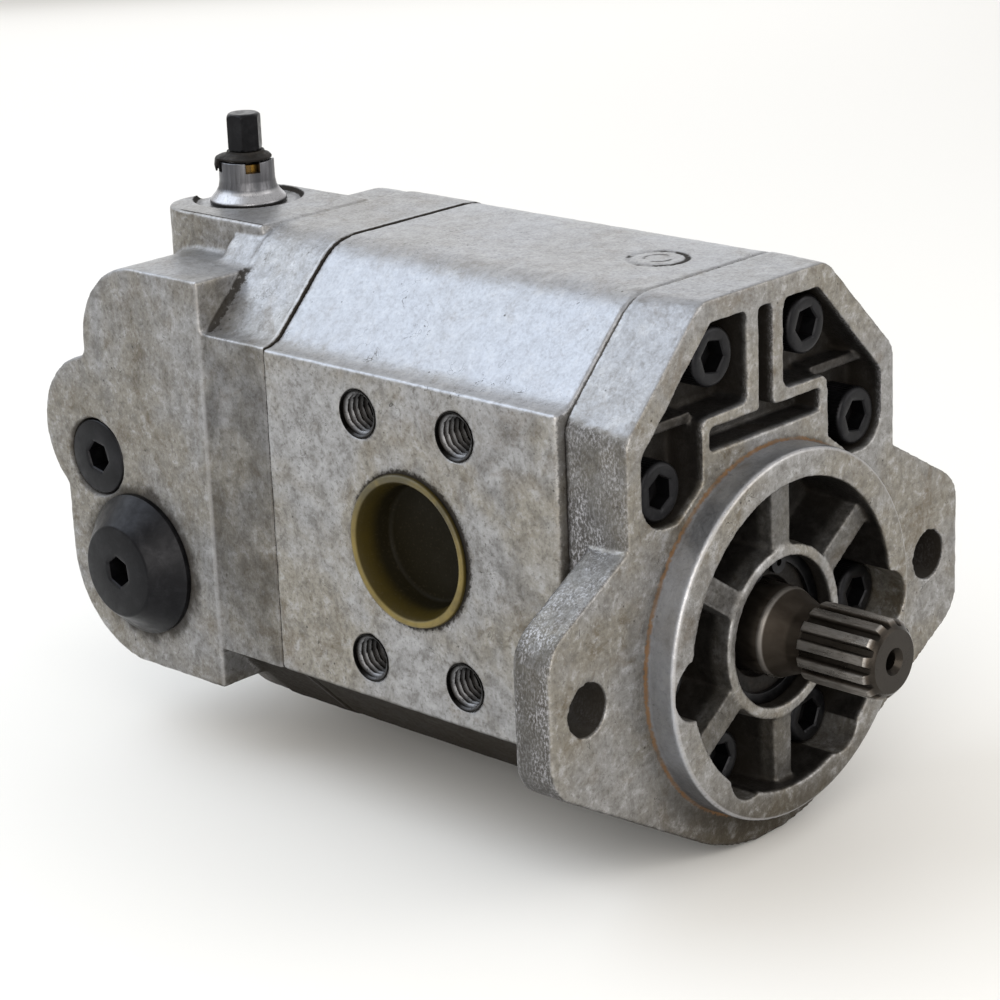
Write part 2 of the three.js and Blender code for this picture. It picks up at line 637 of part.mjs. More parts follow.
// Coil with its axis along Z, from one height to another.
function coil({ coilRadius, wireRadius, turns }, from, to) {
  const stepsPerTurn = 8;
  const steps = turns * stepsPerTurn;
  const points = Array.from({ length: steps + 1 }, (_, i) => {
    const angle = (2 * Math.PI * i) / stepsPerTurn;
    const height = THREE.MathUtils.lerp(from + wireRadius, to - wireRadius, i / steps);
    return new THREE.Vector3(coilRadius * Math.cos(angle), coilRadius * Math.sin(angle), height);
  });
  const wire = rounded([[-wireRadius, -wireRadius], [wireRadius, -wireRadius], [wireRadius, wireRadius],
    [-wireRadius, wireRadius]]);
  return new THREE.ExtrudeGeometry(new THREE.Shape(wire), {
    steps, extrudePath: new THREE.CatmullRomCurve3(points), bevelEnabled: false, curveSegments: 1,
  });
}

function reliefSpringCoil() {
  return solid(coil(reliefSpring, poppet.top + GAP, springSeat.bottom - GAP)
    .translate(reliefAxis.x, reliefAxis.y, 0));
}

function spoolSpringCoil() {
  const from = -padX + largePlug.stemLength;
  return solid(coil(spoolSpring, from, spool.left - GAP).rotateY(Math.PI / 2)
    .translate(0, spoolAxis.y, spoolAxis.z));
}

const reliefCentre = [reliefAxis.x, reliefAxis.y, 0];

function collarNut() {
  const { flareRadius, radius, flareTop, top, stemRadius, stemBottom } = collar;
  const seat = topZ - spotFace.depth + GAP;
  const body = turned([
    [collarBore, stemBottom], [stemRadius, stemBottom], [stemRadius, seat], [flareRadius, seat],
    [flareRadius, seat + 1], [flareRadius - 1.8, seat + 3], [radius, flareTop + 1], [radius, top],
    [collarBore, top],
  ], 'z', reliefCentre);
  const slots = Array.from({ length: collarSlot.count }, (_, i) => {
    const slot = new THREE.BoxGeometry(radius, collarSlot.width, collarSlot.depth + THROUGH);
    slot.translate(collarBore - THROUGH + radius / 2, 0, top + (THROUGH - collarSlot.depth) / 2);
    const angle = (2 * Math.PI * i) / collarSlot.count + THREE.MathUtils.degToRad(collarSlot.firstAngle);
    return solid(slot.rotateZ(angle).translate(...reliefCentre));
  });
  return cut(body, ...slots);
}

function adjustingScrew() {
  const { radius, bottom, hexFlats, hexBottom, hexTurn, top } = screw;
  const chamfer = 1;
  const corner = hexFlats / 2 / Math.cos(Math.PI / 6);
  const stem = turned([
    [0, bottom], [radius - 0.5, bottom], [radius, bottom + 0.5], [radius, hexBottom + THROUGH],
    [0, hexBottom + THROUGH],
  ], 'z', reliefCentre);
  const hex = prism(hexagon(hexFlats, reliefAxis.x, reliefAxis.y, hexTurn), 'z', hexBottom, top);
  const envelope = turned([
    [0, hexBottom - THROUGH], [corner + 0.1, hexBottom - THROUGH], [corner + 0.1, top - chamfer / 2],
    [corner - chamfer, top], [0, top],
  ], 'z', reliefCentre);
  return union(stem, hex.intersect(envelope));
}

function screwBoot() {
  const { innerRadius, radius, bottom, top } = boot;
  const topWall = 1.2;
  return turned([
    [innerRadius, bottom], [radius, bottom], [radius, bottom + 0.8], [innerRadius + topWall, top],
    [innerRadius, top],
  ], 'z', reliefCentre);
}

const springSeatDisc = () => turned([
  [0, springSeat.bottom], [springSeat.radius, springSeat.bottom], [springSeat.radius, screw.bottom - 1.2],
  [springSeat.radius - 2, screw.bottom - GAP], [0, screw.bottom - GAP],
], 'z', reliefCentre);

function reliefPoppet() {
  const { radius, coneTop, top } = poppet;
  const tip = poppetSeat.top - 1;
  return turned([[0, tip], [poppetSeat.boreRadius - 1, tip], [radius, coneTop], [radius, top], [0, top]],
    'z', reliefCentre);
}

const poppetSeatRing = () => turned([
  [poppetSeat.boreRadius, reliefBore.bottom + GAP], [poppetSeat.outerRadius, reliefBore.bottom + GAP],
  [poppetSeat.outerRadius, poppetSeat.top], [poppetSeat.boreRadius + 1, poppetSeat.top],
  [poppetSeat.boreRadius, poppetSeat.top - 1.6],
], 'z', reliefCentre);

// ---------------------------------------------------------------- materials and assembly

const looks = {
  castAluminium: { color: 0x9c9a95, metalness: 0.75, roughness: 0.55 },
  coverAluminium: { color: 0x97948d, metalness: 0.7, roughness: 0.6 },
  shaftSteel: { color: 0x4a423b, metalness: 0.9, roughness: 0.35 },
  blackOxide: { color: 0x1d1b1c, metalness: 0.7, roughness: 0.5 },
  brightSteel: { color: 0xa3a3a6, metalness: 0.95, roughness: 0.25 },
  springSteel: { color: 0x6c6c70, metalness: 0.9, roughness: 0.3 },
  bearingAlloy: { color: 0xb0aaa0, metalness: 0.8, roughness: 0.4 },
  bronze: { color: 0x8c6a3a, metalness: 0.9, roughness: 0.4 },
  brass: { color: 0xa8781f, metalness: 0.95, roughness: 0.35 },
  rubber: { color: 0x151515, metalness: 0, roughness: 0.8 },
  plugPlastic: { color: 0x8c7a33, metalness: 0, roughness: 0.4 },
};

const pump = new THREE.Group();

function add(name, look, piece) {
  const { vertProperties, triVerts } = piece.getMesh();
  const geometry = new THREE.BufferGeometry();
  geometry.setAttribute('position', new THREE.BufferAttribute(vertProperties, 3));
  geometry.setIndex(new THREE.BufferAttribute(triVerts, 1));
  geometry.computeVertexNormals();
  const mesh = new THREE.Mesh(geometry, new THREE.MeshStandardMaterial(looks[look]));
  mesh.name = name;
  pump.add(mesh);
}

add('front_cover', 'coverAluminium', frontCover());
add('gear_housing', 'castAluminium', gearHousing());
add('rear_cover', 'castAluminium', rearCover());
add('drive_shaft', 'shaftSteel', driveShaft());
add('driven_gear', 'shaftSteel', drivenGear());
add('shaft_seal', 'rubber', shaftSeal());
add('retaining_ring', 'blackOxide', retainingRing());

const blockPlaces = { front: housingFront + GAP, rear: housingBack - blockLength - GAP };
for (const [end, from] of Object.entries(blockPlaces)) {
  add(`${end}_bearing_block`, 'bearingAlloy', bearingBlock(from));
  add(`${end}_drive_bush`, 'bronze', bearingBush(from, 0));
  add(`${end}_driven_bush`, 'bronze', bearingBush(from, centreDistance));
}

const joints = {
  front: { pins: coverBack + GAP / 2, sealFrom: coverBack - jointSeal.depth + GAP },
  rear: { pins: housingBack + GAP / 2, sealFrom: rearFront + GAP },
};
for (const [end, { pins, sealFrom }] of Object.entries(joints)) {
  add(`${end}_joint_seal`, 'rubber', jointSealRing(sealFrom));
  add(`${end}_dowel_left`, 'brightSteel', dowelPin(pins, -1));
  add(`${end}_dowel_right`, 'brightSteel', dowelPin(pins, 1));
}

for (const [place, centre] of Object.entries(boltPlaces)) {
  add(`bolt_${place}`, 'blackOxide', throughBolt(centre));
}

add('inlet_plug', 'plugPlastic', portPlug(inlet));
add('outlet_plug', 'plugPlastic', portPlug(outlet));

add('large_cone_plug', 'blackOxide', largeConePlug());
add('large_plug_oring', 'rubber', plugRing(largePlug, -padX - GAP, spoolAxis));
add('small_hex_plug', 'blackOxide', smallHexPlug());
const smallNeck = smallPlug.sink + smallPlug.headLength - padX;
add('small_plug_oring', 'rubber', plugRing(smallPlug, smallNeck, galleryAxis));
add('flow_spool', 'brightSteel', flowSpool());
add('spool_spring', 'springSteel', spoolSpringCoil());

add('collar_nut', 'brightSteel', collarNut());
add('brass_sleeve', 'brass', ring(brassBush.innerRadius, brassBush.outerRadius, 'z', brassBush.bottom,
  brassBush.top, reliefCentre));
add('adjusting_screw', 'blackOxide', adjustingScrew());
add('screw_boot', 'rubber', screwBoot());
add('spring_seat', 'springSteel', springSeatDisc());
add('relief_spring', 'springSteel', reliefSpringCoil());
add('relief_poppet', 'brightSteel', reliefPoppet());
add('poppet_seat', 'brightSteel', poppetSeatRing());

export default pump;
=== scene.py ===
"""Hydraulic gear pump: detailed castings, shaft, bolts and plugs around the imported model.

Shapes are made in millimetres and turned into metres when a piece is finished. The shaft runs
along -Y, the inlet port faces -X and +Z is up. The origin is the middle of the flange's face.
"""
import math

import bpy
import numpy as np
from mathutils import Matrix, Vector


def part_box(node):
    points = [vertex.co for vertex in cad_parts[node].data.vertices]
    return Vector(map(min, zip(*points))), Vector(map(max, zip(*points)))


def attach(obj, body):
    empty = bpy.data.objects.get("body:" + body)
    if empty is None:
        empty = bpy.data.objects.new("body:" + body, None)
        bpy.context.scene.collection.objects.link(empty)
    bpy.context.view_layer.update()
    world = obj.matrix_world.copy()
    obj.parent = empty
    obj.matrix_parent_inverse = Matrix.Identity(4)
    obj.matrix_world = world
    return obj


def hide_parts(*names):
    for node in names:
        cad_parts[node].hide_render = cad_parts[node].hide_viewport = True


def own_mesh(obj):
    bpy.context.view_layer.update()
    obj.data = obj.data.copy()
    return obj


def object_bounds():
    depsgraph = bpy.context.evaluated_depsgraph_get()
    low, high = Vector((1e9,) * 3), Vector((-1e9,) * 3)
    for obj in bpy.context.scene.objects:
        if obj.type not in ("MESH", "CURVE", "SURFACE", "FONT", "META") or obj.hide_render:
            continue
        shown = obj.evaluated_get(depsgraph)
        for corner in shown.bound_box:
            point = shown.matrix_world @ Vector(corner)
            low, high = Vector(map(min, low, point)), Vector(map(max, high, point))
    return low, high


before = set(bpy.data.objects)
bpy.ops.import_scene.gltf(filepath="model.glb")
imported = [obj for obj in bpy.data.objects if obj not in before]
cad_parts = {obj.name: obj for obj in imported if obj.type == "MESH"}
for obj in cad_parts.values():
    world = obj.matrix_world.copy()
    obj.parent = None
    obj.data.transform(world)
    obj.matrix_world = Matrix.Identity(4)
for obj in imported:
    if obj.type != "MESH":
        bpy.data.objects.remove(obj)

cad_low, cad_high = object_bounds()

MM = 0.001
BODY = "pump_body"

# ---------------- dimensions, in millimetres

MID_Z = 23.0            # half the gears' centre distance
COVER_BACK = 19.4
HOUSING = (19.7, 127.7)
REAR_FRONT = 128.0
PLATE_BACK = 154.0
BLOCK_FRONT = 153.6
CORE_BACK = 167.0
PORT_Y = 73.7
PAD_X = 60.0
TOP_Z = 95.0
TOP_HALF = 30.0         # half width of the flat top
HALF_HEIGHT = 72.0      # of the three sections, from MID_Z
SPOOL = (185.8, -4.4)   # (y, z) of the large plug
GALLERY = (203.7, 24.9)  # (y, z) of the small plug
MARK = (3.5, 39.0)      # (x, y) of the ring pressed into the top
MARK_RADIUS = 8.0
RELIEF = (-7.0, 188.6)  # (x, y) of the adjusting screw

PILOT_RADIUS = 50.8
PILOT_HEIGHT = 9.2
CAVITY_RADIUS = 42.8
CAVITY_FLOOR = 12.0
FLANGE_HALF_WIDTH = 87.0
FLANGE_DISC = 60.0
FLANGE_BACK = 12.5
FLANGE_HOLE_X = 73.0
FLANGE_HOLE = 7.15
BOLT_HOLE = 5.3
GEAR_BORE = 27.2
INLET_BORE, OUTLET_BORE = 19.0, 12.7
INLET_BOLTS = (17.86, 34.92, 6.5)       # half spacings along Y and Z, and the hole's radius
OUTLET_BOLTS = (13.09, 26.19, 5.0)
HUB_RADIUS = 23.9
HUB_BORE = 20.8
HUB_FRONT = -5.4
RIB_ANGLES = (34, 90, 146, 214, 270, 326)
BOLTS = {
    "lower_left": (-19.5, -32.0), "lower_right": (19.5, -32.0),
    "outer_lower_left": (-41.3, -2.5), "outer_lower_right": (41.3, -2.5),
    "outer_upper_left": (-41.3, 48.5), "outer_upper_right": (41.3, 48.5),
    "upper_left": (-19.5, 79.0), "upper_right": (19.5, 79.0),
}

# ---------------- outlines


def arc(u, v, radius, start, end, sag=0.01):
    """Points on an arc, angles in degrees; chords run at most sag inside it."""
    sweep = math.radians(end - start)
    steps = max(2, math.ceil(abs(sweep) / (2 * math.acos(1 - sag / radius))))
    angles = math.radians(start) + sweep * np.arange(steps + 1) / steps
    return np.stack([u + radius * np.cos(angles), v + radius * np.sin(angles)], 1)


def rounded(corners):
    """Outline through corners (u, v, radius)."""
    points = []
    for i, (u, v, radius) in enumerate(corners):
        here = np.array([u, v], float)
        if not radius:
            points.append(here)
            continue
        before = np.array(corners[i - 1][:2]) - here
        after = np.array(corners[(i + 1) % len(corners)][:2]) - here
        before /= np.linalg.norm(before)
        after /= np.linalg.norm(after)
        half = math.acos(before @ after) / 2
        centre = here + (before + after) / np.linalg.norm(before + after) * radius / math.sin(half)
        start = here + before * radius / math.tan(half) - centre
        turn = (math.pi - 2 * half) * np.sign(after[0] * before[1] - after[1] * before[0])
        for angle in np.linspace(0, turn, 9):
            c, s = math.cos(angle), math.sin(angle)
            points.append(centre + np.array([c * start[0] - s * start[1], s * start[0] + c * start[1]]))
    return np.array(points)


def mirrored(right_half):
    """Outline from its right half, listed top to bottom, and the mirror image."""
    return rounded([(-x, z, r) for x, z, r in reversed(right_half)] + list(right_half))


def section_outline(grow=0.0, pad_x=PAD_X):
    """Port faces at the sides, 45 degree slopes, narrow top and bottom. Heights are from MID_Z."""
    top = [(TOP_HALF + grow / 2, HALF_HEIGHT + grow, 17), (55 + grow, 47 + grow / 2, 11),
           (pad_x, 47 + grow / 2, 0.6)]
    bottom = [(x, -z, r) for x, z, r in reversed(top)]
    return mirrored([(x, MID_Z + z, r) for x, z, r in top + bottom])


def core_outline(grow=0.0):
    top = [(TOP_HALF + grow / 2, HALF_HEIGHT + grow, 17), (50, 52 + grow, 7)]
    return mirrored([(x, MID_Z + z, r) for x, z, r in top + [(x, -z, r) for x, z, r in reversed(top)]])


def cover_outline(half_width, reach, corner):
    shoulder = reach - half_width
    half = [(reach - HALF_HEIGHT, HALF_HEIGHT, corner), (half_width, shoulder, 8),
            (half_width, -shoulder, 8), (reach - HALF_HEIGHT, -HALF_HEIGHT, corner)]
    return mirrored([(x, MID_Z + z, r) for x, z, r in half])


def flange_outline():
    """Two ears whose edges run 30 degrees down to a disc."""
    half_width, disc, corner = FLANGE_HALF_WIDTH, FLANGE_DISC, 12
    leave_x, leave_z = disc * math.cos(math.pi / 3), disc * math.sin(math.pi / 3)
    end_z = leave_z - (half_width - leave_x) / math.tan(math.pi / 3)
    bottom = [(x, z, 0) for x, z in arc(0, 0, disc, -120, -60)]
    return rounded(bottom + [
        (half_width, -end_z, corner), (half_width, end_z, corner), (leave_x, leave_z, 0),
        (-leave_x, leave_z, 0), (-half_width, end_z, corner), (-half_width, -end_z, corner),
    ])


def window_outline(side):
    corners = [
        (7.7, 88.8, 2), (22.6, 88.8, 4), (50.3, 59.8, 5), (50.3, 39.4, 9), (36.5, 39.4, 3),
        (26.4, 47, 1.5), (26.2, 64.1, 2.5), (7.5, 64.6, 2.5),
    ]
    return rounded([(side * x, z, r) for x, z, r in corners])


def valve_block_outline():
    """The valve block from the inlet side, (y, z): a lobe round each cross bore."""
    return np.concatenate([
        [(BLOCK_FRONT, -36.3)], arc(187, -5, 31.3, -90, 3), arc(203, 32, 23.5, -49, 80),
        arc(181, 60, 25, -6, 90), [(BLOCK_FRONT, 85.0)],
    ])


# ---------------- solids


def placed(u, v, station, axis):
    """Points from outline coordinates and a station along the axis."""
    coordinates = {"x": (station, u, v), "y": (u, station, v), "z": (u, v, station)}[axis]
    return np.stack(np.broadcast_arrays(*coordinates), -1).astype(float)


def make_object(name, vertices, faces):
    mesh = bpy.data.meshes.new(name)
    mesh.from_pydata(np.asarray(vertices).tolist(), [], faces)
    mesh.validate()
    piece = bpy.data.objects.new(name, mesh)
    bpy.context.scene.collection.objects.link(piece)
    if signed_volume(mesh) < 0:
        mesh.flip_normals()
    return piece


def signed_volume(mesh):
    mesh.calc_loop_triangles()
    corners = np.zeros(len(mesh.loop_triangles) * 3, np.int32)
    mesh.loop_triangles.foreach_get("vertices", corners)
    points = positions(mesh)[corners.reshape(-1, 3)]
    return np.einsum("ij,ij->i", points[:, 0], np.cross(points[:, 1], points[:, 2])).sum() / 6


def positions(mesh):
    points = np.zeros(len(mesh.vertices) * 3)
    mesh.vertices.foreach_get("co", points)
    return points.reshape(-1, 3)


def prism(outline, axis, start, end, end_outline=None):
    """Solid between an outline at start and the same, or another, outline at end."""
    far = outline if end_outline is None else end_outline
    n = len(outline)
    points = [placed(*outline.T, start, axis), placed(*far.T, end, axis)]
    sides = [(i, (i + 1) % n, n + (i + 1) % n, n + i) for i in range(n)]
    caps = [tuple(range(n - 1, -1, -1)), tuple(range(n, 2 * n))]
    return make_object("prism", np.concatenate(points), sides + caps)


def turned(name, profile, axis, centre=(0, 0, 0), segments=96):
    """Solid through rings (radius, station); a radius may be a function of the angle.

    A profile that starts and ends at radius 0 is solid. Any other closes on itself, as a ring does.
    """
    angles = 2 * math.pi * np.arange(segments) / segments
    pole_start, pole_end = (np.isscalar(r) and r == 0 for r in (profile[0][0], profile[-1][0]))
    rings = profile[1 if pole_start else 0:len(profile) - (1 if pole_end else 0)]
    points = []
    for radius, station in rings:
        reach = radius(angles) if callable(radius) else np.full(segments, float(radius))
        points.append(placed(reach * np.cos(angles), reach * np.sin(angles), station, axis))
    vertices = list(np.concatenate(points))
    faces = []
    for k in range(len(rings) - (pole_start or pole_end)):
        low, high = k * segments, (k + 1) % len(rings) * segments
        faces += [(low + i, low + (i + 1) % segments, high + (i + 1) % segments, high + i)
                  for i in range(segments)]
    for pole, first in ((pole_start, 0), (pole_end, (len(rings) - 1) * segments)):
        if pole:
            station = profile[0 if first == 0 else -1][1]
            vertices.append(placed(0.0, 0.0, station, axis))
            ring = [first + i for i in (range(segments) if first else range(segments - 1, -1, -1))]
            faces += [(ring[i], ring[(i + 1) % segments], len(vertices) - 1) for i in range(segments)]
    return make_object(name, np.array(vertices) + np.array(centre, float), faces)


def rod(radius, axis, start, end, centre=(0, 0, 0), segments=96):
    return turned("rod", [(0, start), (radius, start), (radius, end), (0, end)], axis, centre, segments)


def softened(profile, radius, steps=3):
    """The profile with its corners rounded, as far as their neighbours allow."""
    points = [np.array(p, float) for p in profile]
    closed = not (points[0][0] == 0 and points[-1][0] == 0)
    result = []
    for i, here in enumerate(points):
        if not closed and i in (0, len(points) - 1):
            result.append(tuple(here))
            continue
        before, after = points[i - 1] - here, points[(i + 1) % len(points)] - here
        reach = min(radius, 0.45 * np.linalg.norm(before), 0.45 * np.linalg.norm(after))
        start = here + before / np.linalg.norm(before) * reach
        end = here + after / np.linalg.norm(after) * reach
        for t in np.linspace(0, 1, steps + 1):
            result.append(tuple((1 - t) ** 2 * start + 2 * t * (1 - t) * here + t * t * end))
    return result


def box(x0, x1, y0, y1, z0, z1):
    outline = np.array([(x0, z0), (x1, z0), (x1, z1), (x0, z1)], float)
    return prism(outline, "y", y0, y1)


def bake_modifiers(piece):
    graph = bpy.context.evaluated_depsgraph_get()
    mesh = bpy.data.meshes.new_from_object(piece.evaluated_get(graph))
    old = piece.data
    piece.modifiers.clear()
    piece.data = mesh
    bpy.data.meshes.remove(old)
    return piece


def combine(operation, first, others):
    for other in others:
        modifier = first.modifiers.new("combine", "BOOLEAN")
        modifier.operation = operation
        modifier.solver = "MANIFOLD"
        modifier.object = other
    bake_modifiers(first)
    for other in others:
        bpy.data.objects.remove(other)
    return first


def union(first, *others):
    return combine("UNION", first, others)


def cut(first, *others):
    return combine("DIFFERENCE", first, others)


# ---------------- castings' surface


def remeshed(piece, voxel):
    """The solid as an even fine mesh, so that its edges can be rounded and worn."""
    modifier = piece.modifiers.new("even", "REMESH")
    modifier.mode = "VOXEL"
    modifier.voxel_size = voxel
    return bake_modifiers(piece)


class Skin:
    """Vertices, normals and neighbours of a fine mesh, for work on all of them at once."""

    def __init__(self, piece):
        self.mesh = piece.data
        self.points = positions(self.mesh)
        edges = np.zeros(len(self.mesh.edges) * 2, np.int64)
        self.mesh.edges.foreach_get("vertices", edges)
        ends = edges.reshape(-1, 2)
        self.here = np.concatenate([ends[:, 0], ends[:, 1]])
        self.there = np.concatenate([ends[:, 1], ends[:, 0]])
        self.count = np.maximum(np.bincount(self.here, minlength=len(self.points)), 1)

    def mean(self, values):
        """Each vertex's neighbours' mean value."""
        if values.ndim == 1:
            return np.bincount(self.here, values[self.there], len(self.points)) / self.count
        return np.stack([self.mean(values[:, k]) for k in range(values.shape[1])], 1)

    def smooth(self, steps, where=None, factor=0.5):
        share = factor if where is None else factor * where(*self.points.T)[:, None]
        for _ in range(steps):
            self.points = self.points + share * (self.mean(self.points) - self.points)

    def normals(self):
        self.store()
        values = np.zeros(len(self.points) * 3)
        self.mesh.vertices.foreach_get("normal", values)
        return values.reshape(-1, 3)

    def bend(self, spread):
        """How convex the surface is at each vertex, spread over its surroundings."""
        step = np.linalg.norm(self.points[self.there] - self.points[self.here], axis=1).mean()
        value = -np.einsum("ij,ij->i", self.mean(self.points) - self.points, self.normals()) / step
        for _ in range(spread):
            value = self.mean(value)
        return value

    def push(self, distance):
        self.points = self.points + self.normals() * distance[:, None]

    def store(self):
        self.mesh.vertices.foreach_set("co", self.points.ravel())
        self.mesh.update()

    def paint(self, name, values):
        layer = self.mesh.attributes.new(name, "FLOAT", "POINT")
        layer.data.foreach_set("value", np.clip(values, 0, 1).astype(np.float32))


NOISE_TABLE = 8192


def lumps(points, size, seed):
    """Smooth random field between -1 and 1 with a lump every size millimetres."""
    table = np.random.default_rng(seed).uniform(-1, 1, NOISE_TABLE)
    scaled = points / size
    cell = np.floor(scaled).astype(np.int64)
    part = scaled - cell
    part = part * part * (3 - 2 * part)
    total = np.zeros(len(points))
    for corner in np.ndindex(2, 2, 2):
        at = cell + corner
        index = (at[:, 0] * 73856093 ^ at[:, 1] * 19349663 ^ at[:, 2] * 83492791) % NOISE_TABLE
        weight = np.prod(np.where(corner, part, 1 - part), axis=1)
        total += table[index] * weight
    return total


def ramp(values, low, high):
    """0 below low, 1 above high and smooth between; low above high turns it round."""
    t = np.clip((values - low) / (high - low), 0, 1)
    return t * t * (3 - 2 * t)


def weather(skin, seed, cast, lump_height=0.08, nick_depth=0.16):
    """Cast lumps where cast is 1, nicks on outside edges, and the attributes the materials read.

    cast is a function of the place x, y, z and of the normal's parts.
    """
    edge = skin.bend(2)
    height = lump_height * (lumps(skin.points, 2.6, seed) + 0.6 * lumps(skin.points, 1.2, seed + 1))
    nicks = ramp(edge, 0.05, 0.2) * ramp(lumps(skin.points, 4.0, seed + 2), 0.35, 0.8)
    skin.push(height * cast(*skin.points.T, *skin.normals().T) - nick_depth * nicks)
    skin.points = np.clip(skin.points, np.array(cad_low) / MM, np.array(cad_high) / MM)
    edge = skin.bend(2)
    skin.paint("edge", ramp(edge, 0.03, 0.16))
    # Concave places, which the castings paint darker: partly soiling, partly painted shade.
    skin.paint("hollow", ramp(-skin.bend(5), 0.02, 0.10))


def finish(piece, name, body, paint, replaced=(), sharp=35):
    """Turns the piece into metres, names and shades it, and hangs it on its body.

    paint is (slot, material), and its slot is not used; edges bent by more than sharp degrees stay sharp,
    unless it is None.
    """
    slot, material = paint
    piece.name = piece.data.name = name
    mesh = piece.data
    mesh.vertices.foreach_set("co", (positions(mesh) * MM).ravel())
    mesh.shade_smooth()
    if sharp:
        mesh.set_sharp_from_angle(angle=math.radians(sharp))
    mesh.materials.clear()
    mesh.materials.append(material)
    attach(piece, body)
    if replaced:
        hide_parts(*replaced)
    return piece


# ---------------- materials


class Mask:
    """A value that varies over a material; sums and products of masks add nodes to it."""

    def __init__(self, look, socket):
        self.look, self.socket = look, socket

    def __mul__(self, other):
        return self.look.maths("MULTIPLY", self, other)

    def __or__(self, other):
        return self.look.maths("MAXIMUM", self, other)

    def __add__(self, other):
        return self.look.maths("ADD", self, other)

    def __sub__(self, other):
        return self.look.maths("SUBTRACT", self, other)

    def __abs__(self):
        return self.look.maths("ABSOLUTE", self)

    def off(self):
        """1 where the mask is 0, and 0 where it is 1 or more."""
        return self.look.maths("SUBTRACT", 1.0, self, clamp=True)

    def between(self, low, high, to_low=0.0, to_high=1.0):
        """Smooth step from to_low at low to to_high at high; low may be the larger."""
        inputs = {"From Min": low, "From Max": high, "To Min": to_low, "To Max": to_high, "Value": self}
        return self.look.add("MapRange", inputs, "Result", interpolation_type="SMOOTHSTEP")

    def near(self, target, inner, outer, noise=None, spread=0.0):
        """1 within inner of the target and 0 beyond outer; noise moves the edge by up to spread."""
        value = self if noise is None else self + (noise - 0.5) * (2 * spread)
        return abs(value - target).between(outer, inner)


class Look:
    """A procedural material; colours are laid over each other with coat, and done ends it."""

    COLOR_A, COLOR_B, COLOR_OUT = 6, 7, 2   # the Mix node's colour sockets

    def __init__(self, name):
        self.material = bpy.data.materials.new(name)
        self.material.use_nodes = True
        self.tree = self.material.node_tree
        self.color = None
        coordinates = self.add("TexCoord", {}, "Object")
        self.place = self.add("VectorMath", {0: coordinates, "Scale": 1 / MM}, operation="SCALE")
        self.x, self.y, self.z = (self.add("SeparateXYZ", {0: self.place}, axis) for axis in "XYZ")

    def plug(self, socket, value):
        if isinstance(value, Mask):
            self.tree.links.new(value.socket, socket)
        else:
            socket.default_value = (*value, 1) if socket.type == "RGBA" else value

    def add(self, kind, inputs, output=0, **settings):
        """Adds a node with these inputs and settings, and gives back one of its outputs."""
        node = self.tree.nodes.new("ShaderNode" + kind)
        for name, value in settings.items():
            setattr(node, name, value)
        for name, value in inputs.items():
            self.plug(node.inputs[name], value)
        return Mask(self, node.outputs[output])

    def maths(self, operation, a, b=0.0, clamp=False):
        return self.add("Math", {0: a, 1: b}, operation=operation, use_clamp=clamp)

    def vector(self, operation, a, b):
        return self.add("VectorMath", {0: a, 1: b}, operation=operation)

    def noise(self, size, detail=3.0, rough=0.55, stretch=(1, 1, 1), warp=0.0):
        """Cloudy noise with features of about size millimetres, longer along stretched axes."""
        place = self.vector("MULTIPLY", self.place, tuple(1 / s for s in stretch))
        return self.add("TexNoise", {"Vector": place, "Scale": 1 / size, "Detail": detail,
                                     "Roughness": rough, "Distortion": warp}, "Fac")

    def cells(self, size):
        return self.add("TexVoronoi", {"Vector": self.place, "Scale": 1 / size}, "Distance")

    def from_axis(self, axis, u, v):
        """Distance in millimetres from the line along an axis through (u, v)."""
        flat = tuple(0.0 if name == axis else 1.0 for name in "xyz")
        offset = self.vector("SUBTRACT", self.place, tuple(placed(u, v, 0.0, axis)))
        return self.add("VectorMath", {0: self.vector("MULTIPLY", offset, flat)}, "Value", operation="LENGTH")

    def painted(self, name):
        return self.add("Attribute", {}, "Fac", attribute_name=name)

    def shelter(self, distance):
        """1 in a deep hollow and 0 in the open; the materials paint shade into hollows with it."""
        return self.add("AmbientOcclusion", {"Distance": distance * MM}, "AO", samples=6).off()

    def bump(self, height, distance, strength, below=None):
        inputs = {"Height": height, "Distance": distance * MM, "Strength": strength}
        return self.add("Bump", inputs if below is None else {**inputs, "Normal": below}, "Normal")

    def mix(self, share, a, b):
        return self.add("Mix", {0: share, self.COLOR_A: a, self.COLOR_B: b}, self.COLOR_OUT, data_type="RGBA")

    def coat(self, share, color):
        self.color = self.mix(share, self.color, color)

    def done(self, metallic, roughness, normal=None, specular=None):
        shader = self.tree.nodes["Principled BSDF"]
        values = {"Base Color": self.color, "Metallic": metallic, "Roughness": roughness,
                  "Normal": normal, "Specular IOR Level": specular}
        for name, value in values.items():
            if value is not None:
                self.plug(shader.inputs[name], value)
        return self.material


def scaled(color, factor):
    return tuple(c * factor for c in color)


CLEAN_CAST = (0.30, 0.305, 0.32)
WARM_CAST = (0.255, 0.238, 0.205)
PLAIN_SKYLIT_CAST = (0.31, 0.325, 0.36)
DARK_CAST = (0.105, 0.097, 0.088)
LIGHT_CAST = (0.44, 0.44, 0.45)
PEENED_DARK = (0.045, 0.043, 0.042)
PEENED_GLINT = (0.42, 0.42, 0.45)
PEENED_DULL = (0.05, 0.048, 0.045)
STAIN = (0.12, 0.088, 0.052)
BROWN = (0.115, 0.092, 0.062)
GRIME_AND_SHADE = (0.016, 0.013, 0.010)
SHADED_DARK_CAST = (0.030, 0.027, 0.025)
STAIN_LOW = (0.048, 0.037, 0.022)
RUST = (0.15, 0.080, 0.035)
WORN_AND_HIGHLIT_EDGE = (0.56, 0.56, 0.58)
OILY_SHADED_GROOVE = (0.008, 0.007, 0.006)
WORN_AND_HIGHLIT_STEEL = (0.30, 0.285, 0.27)


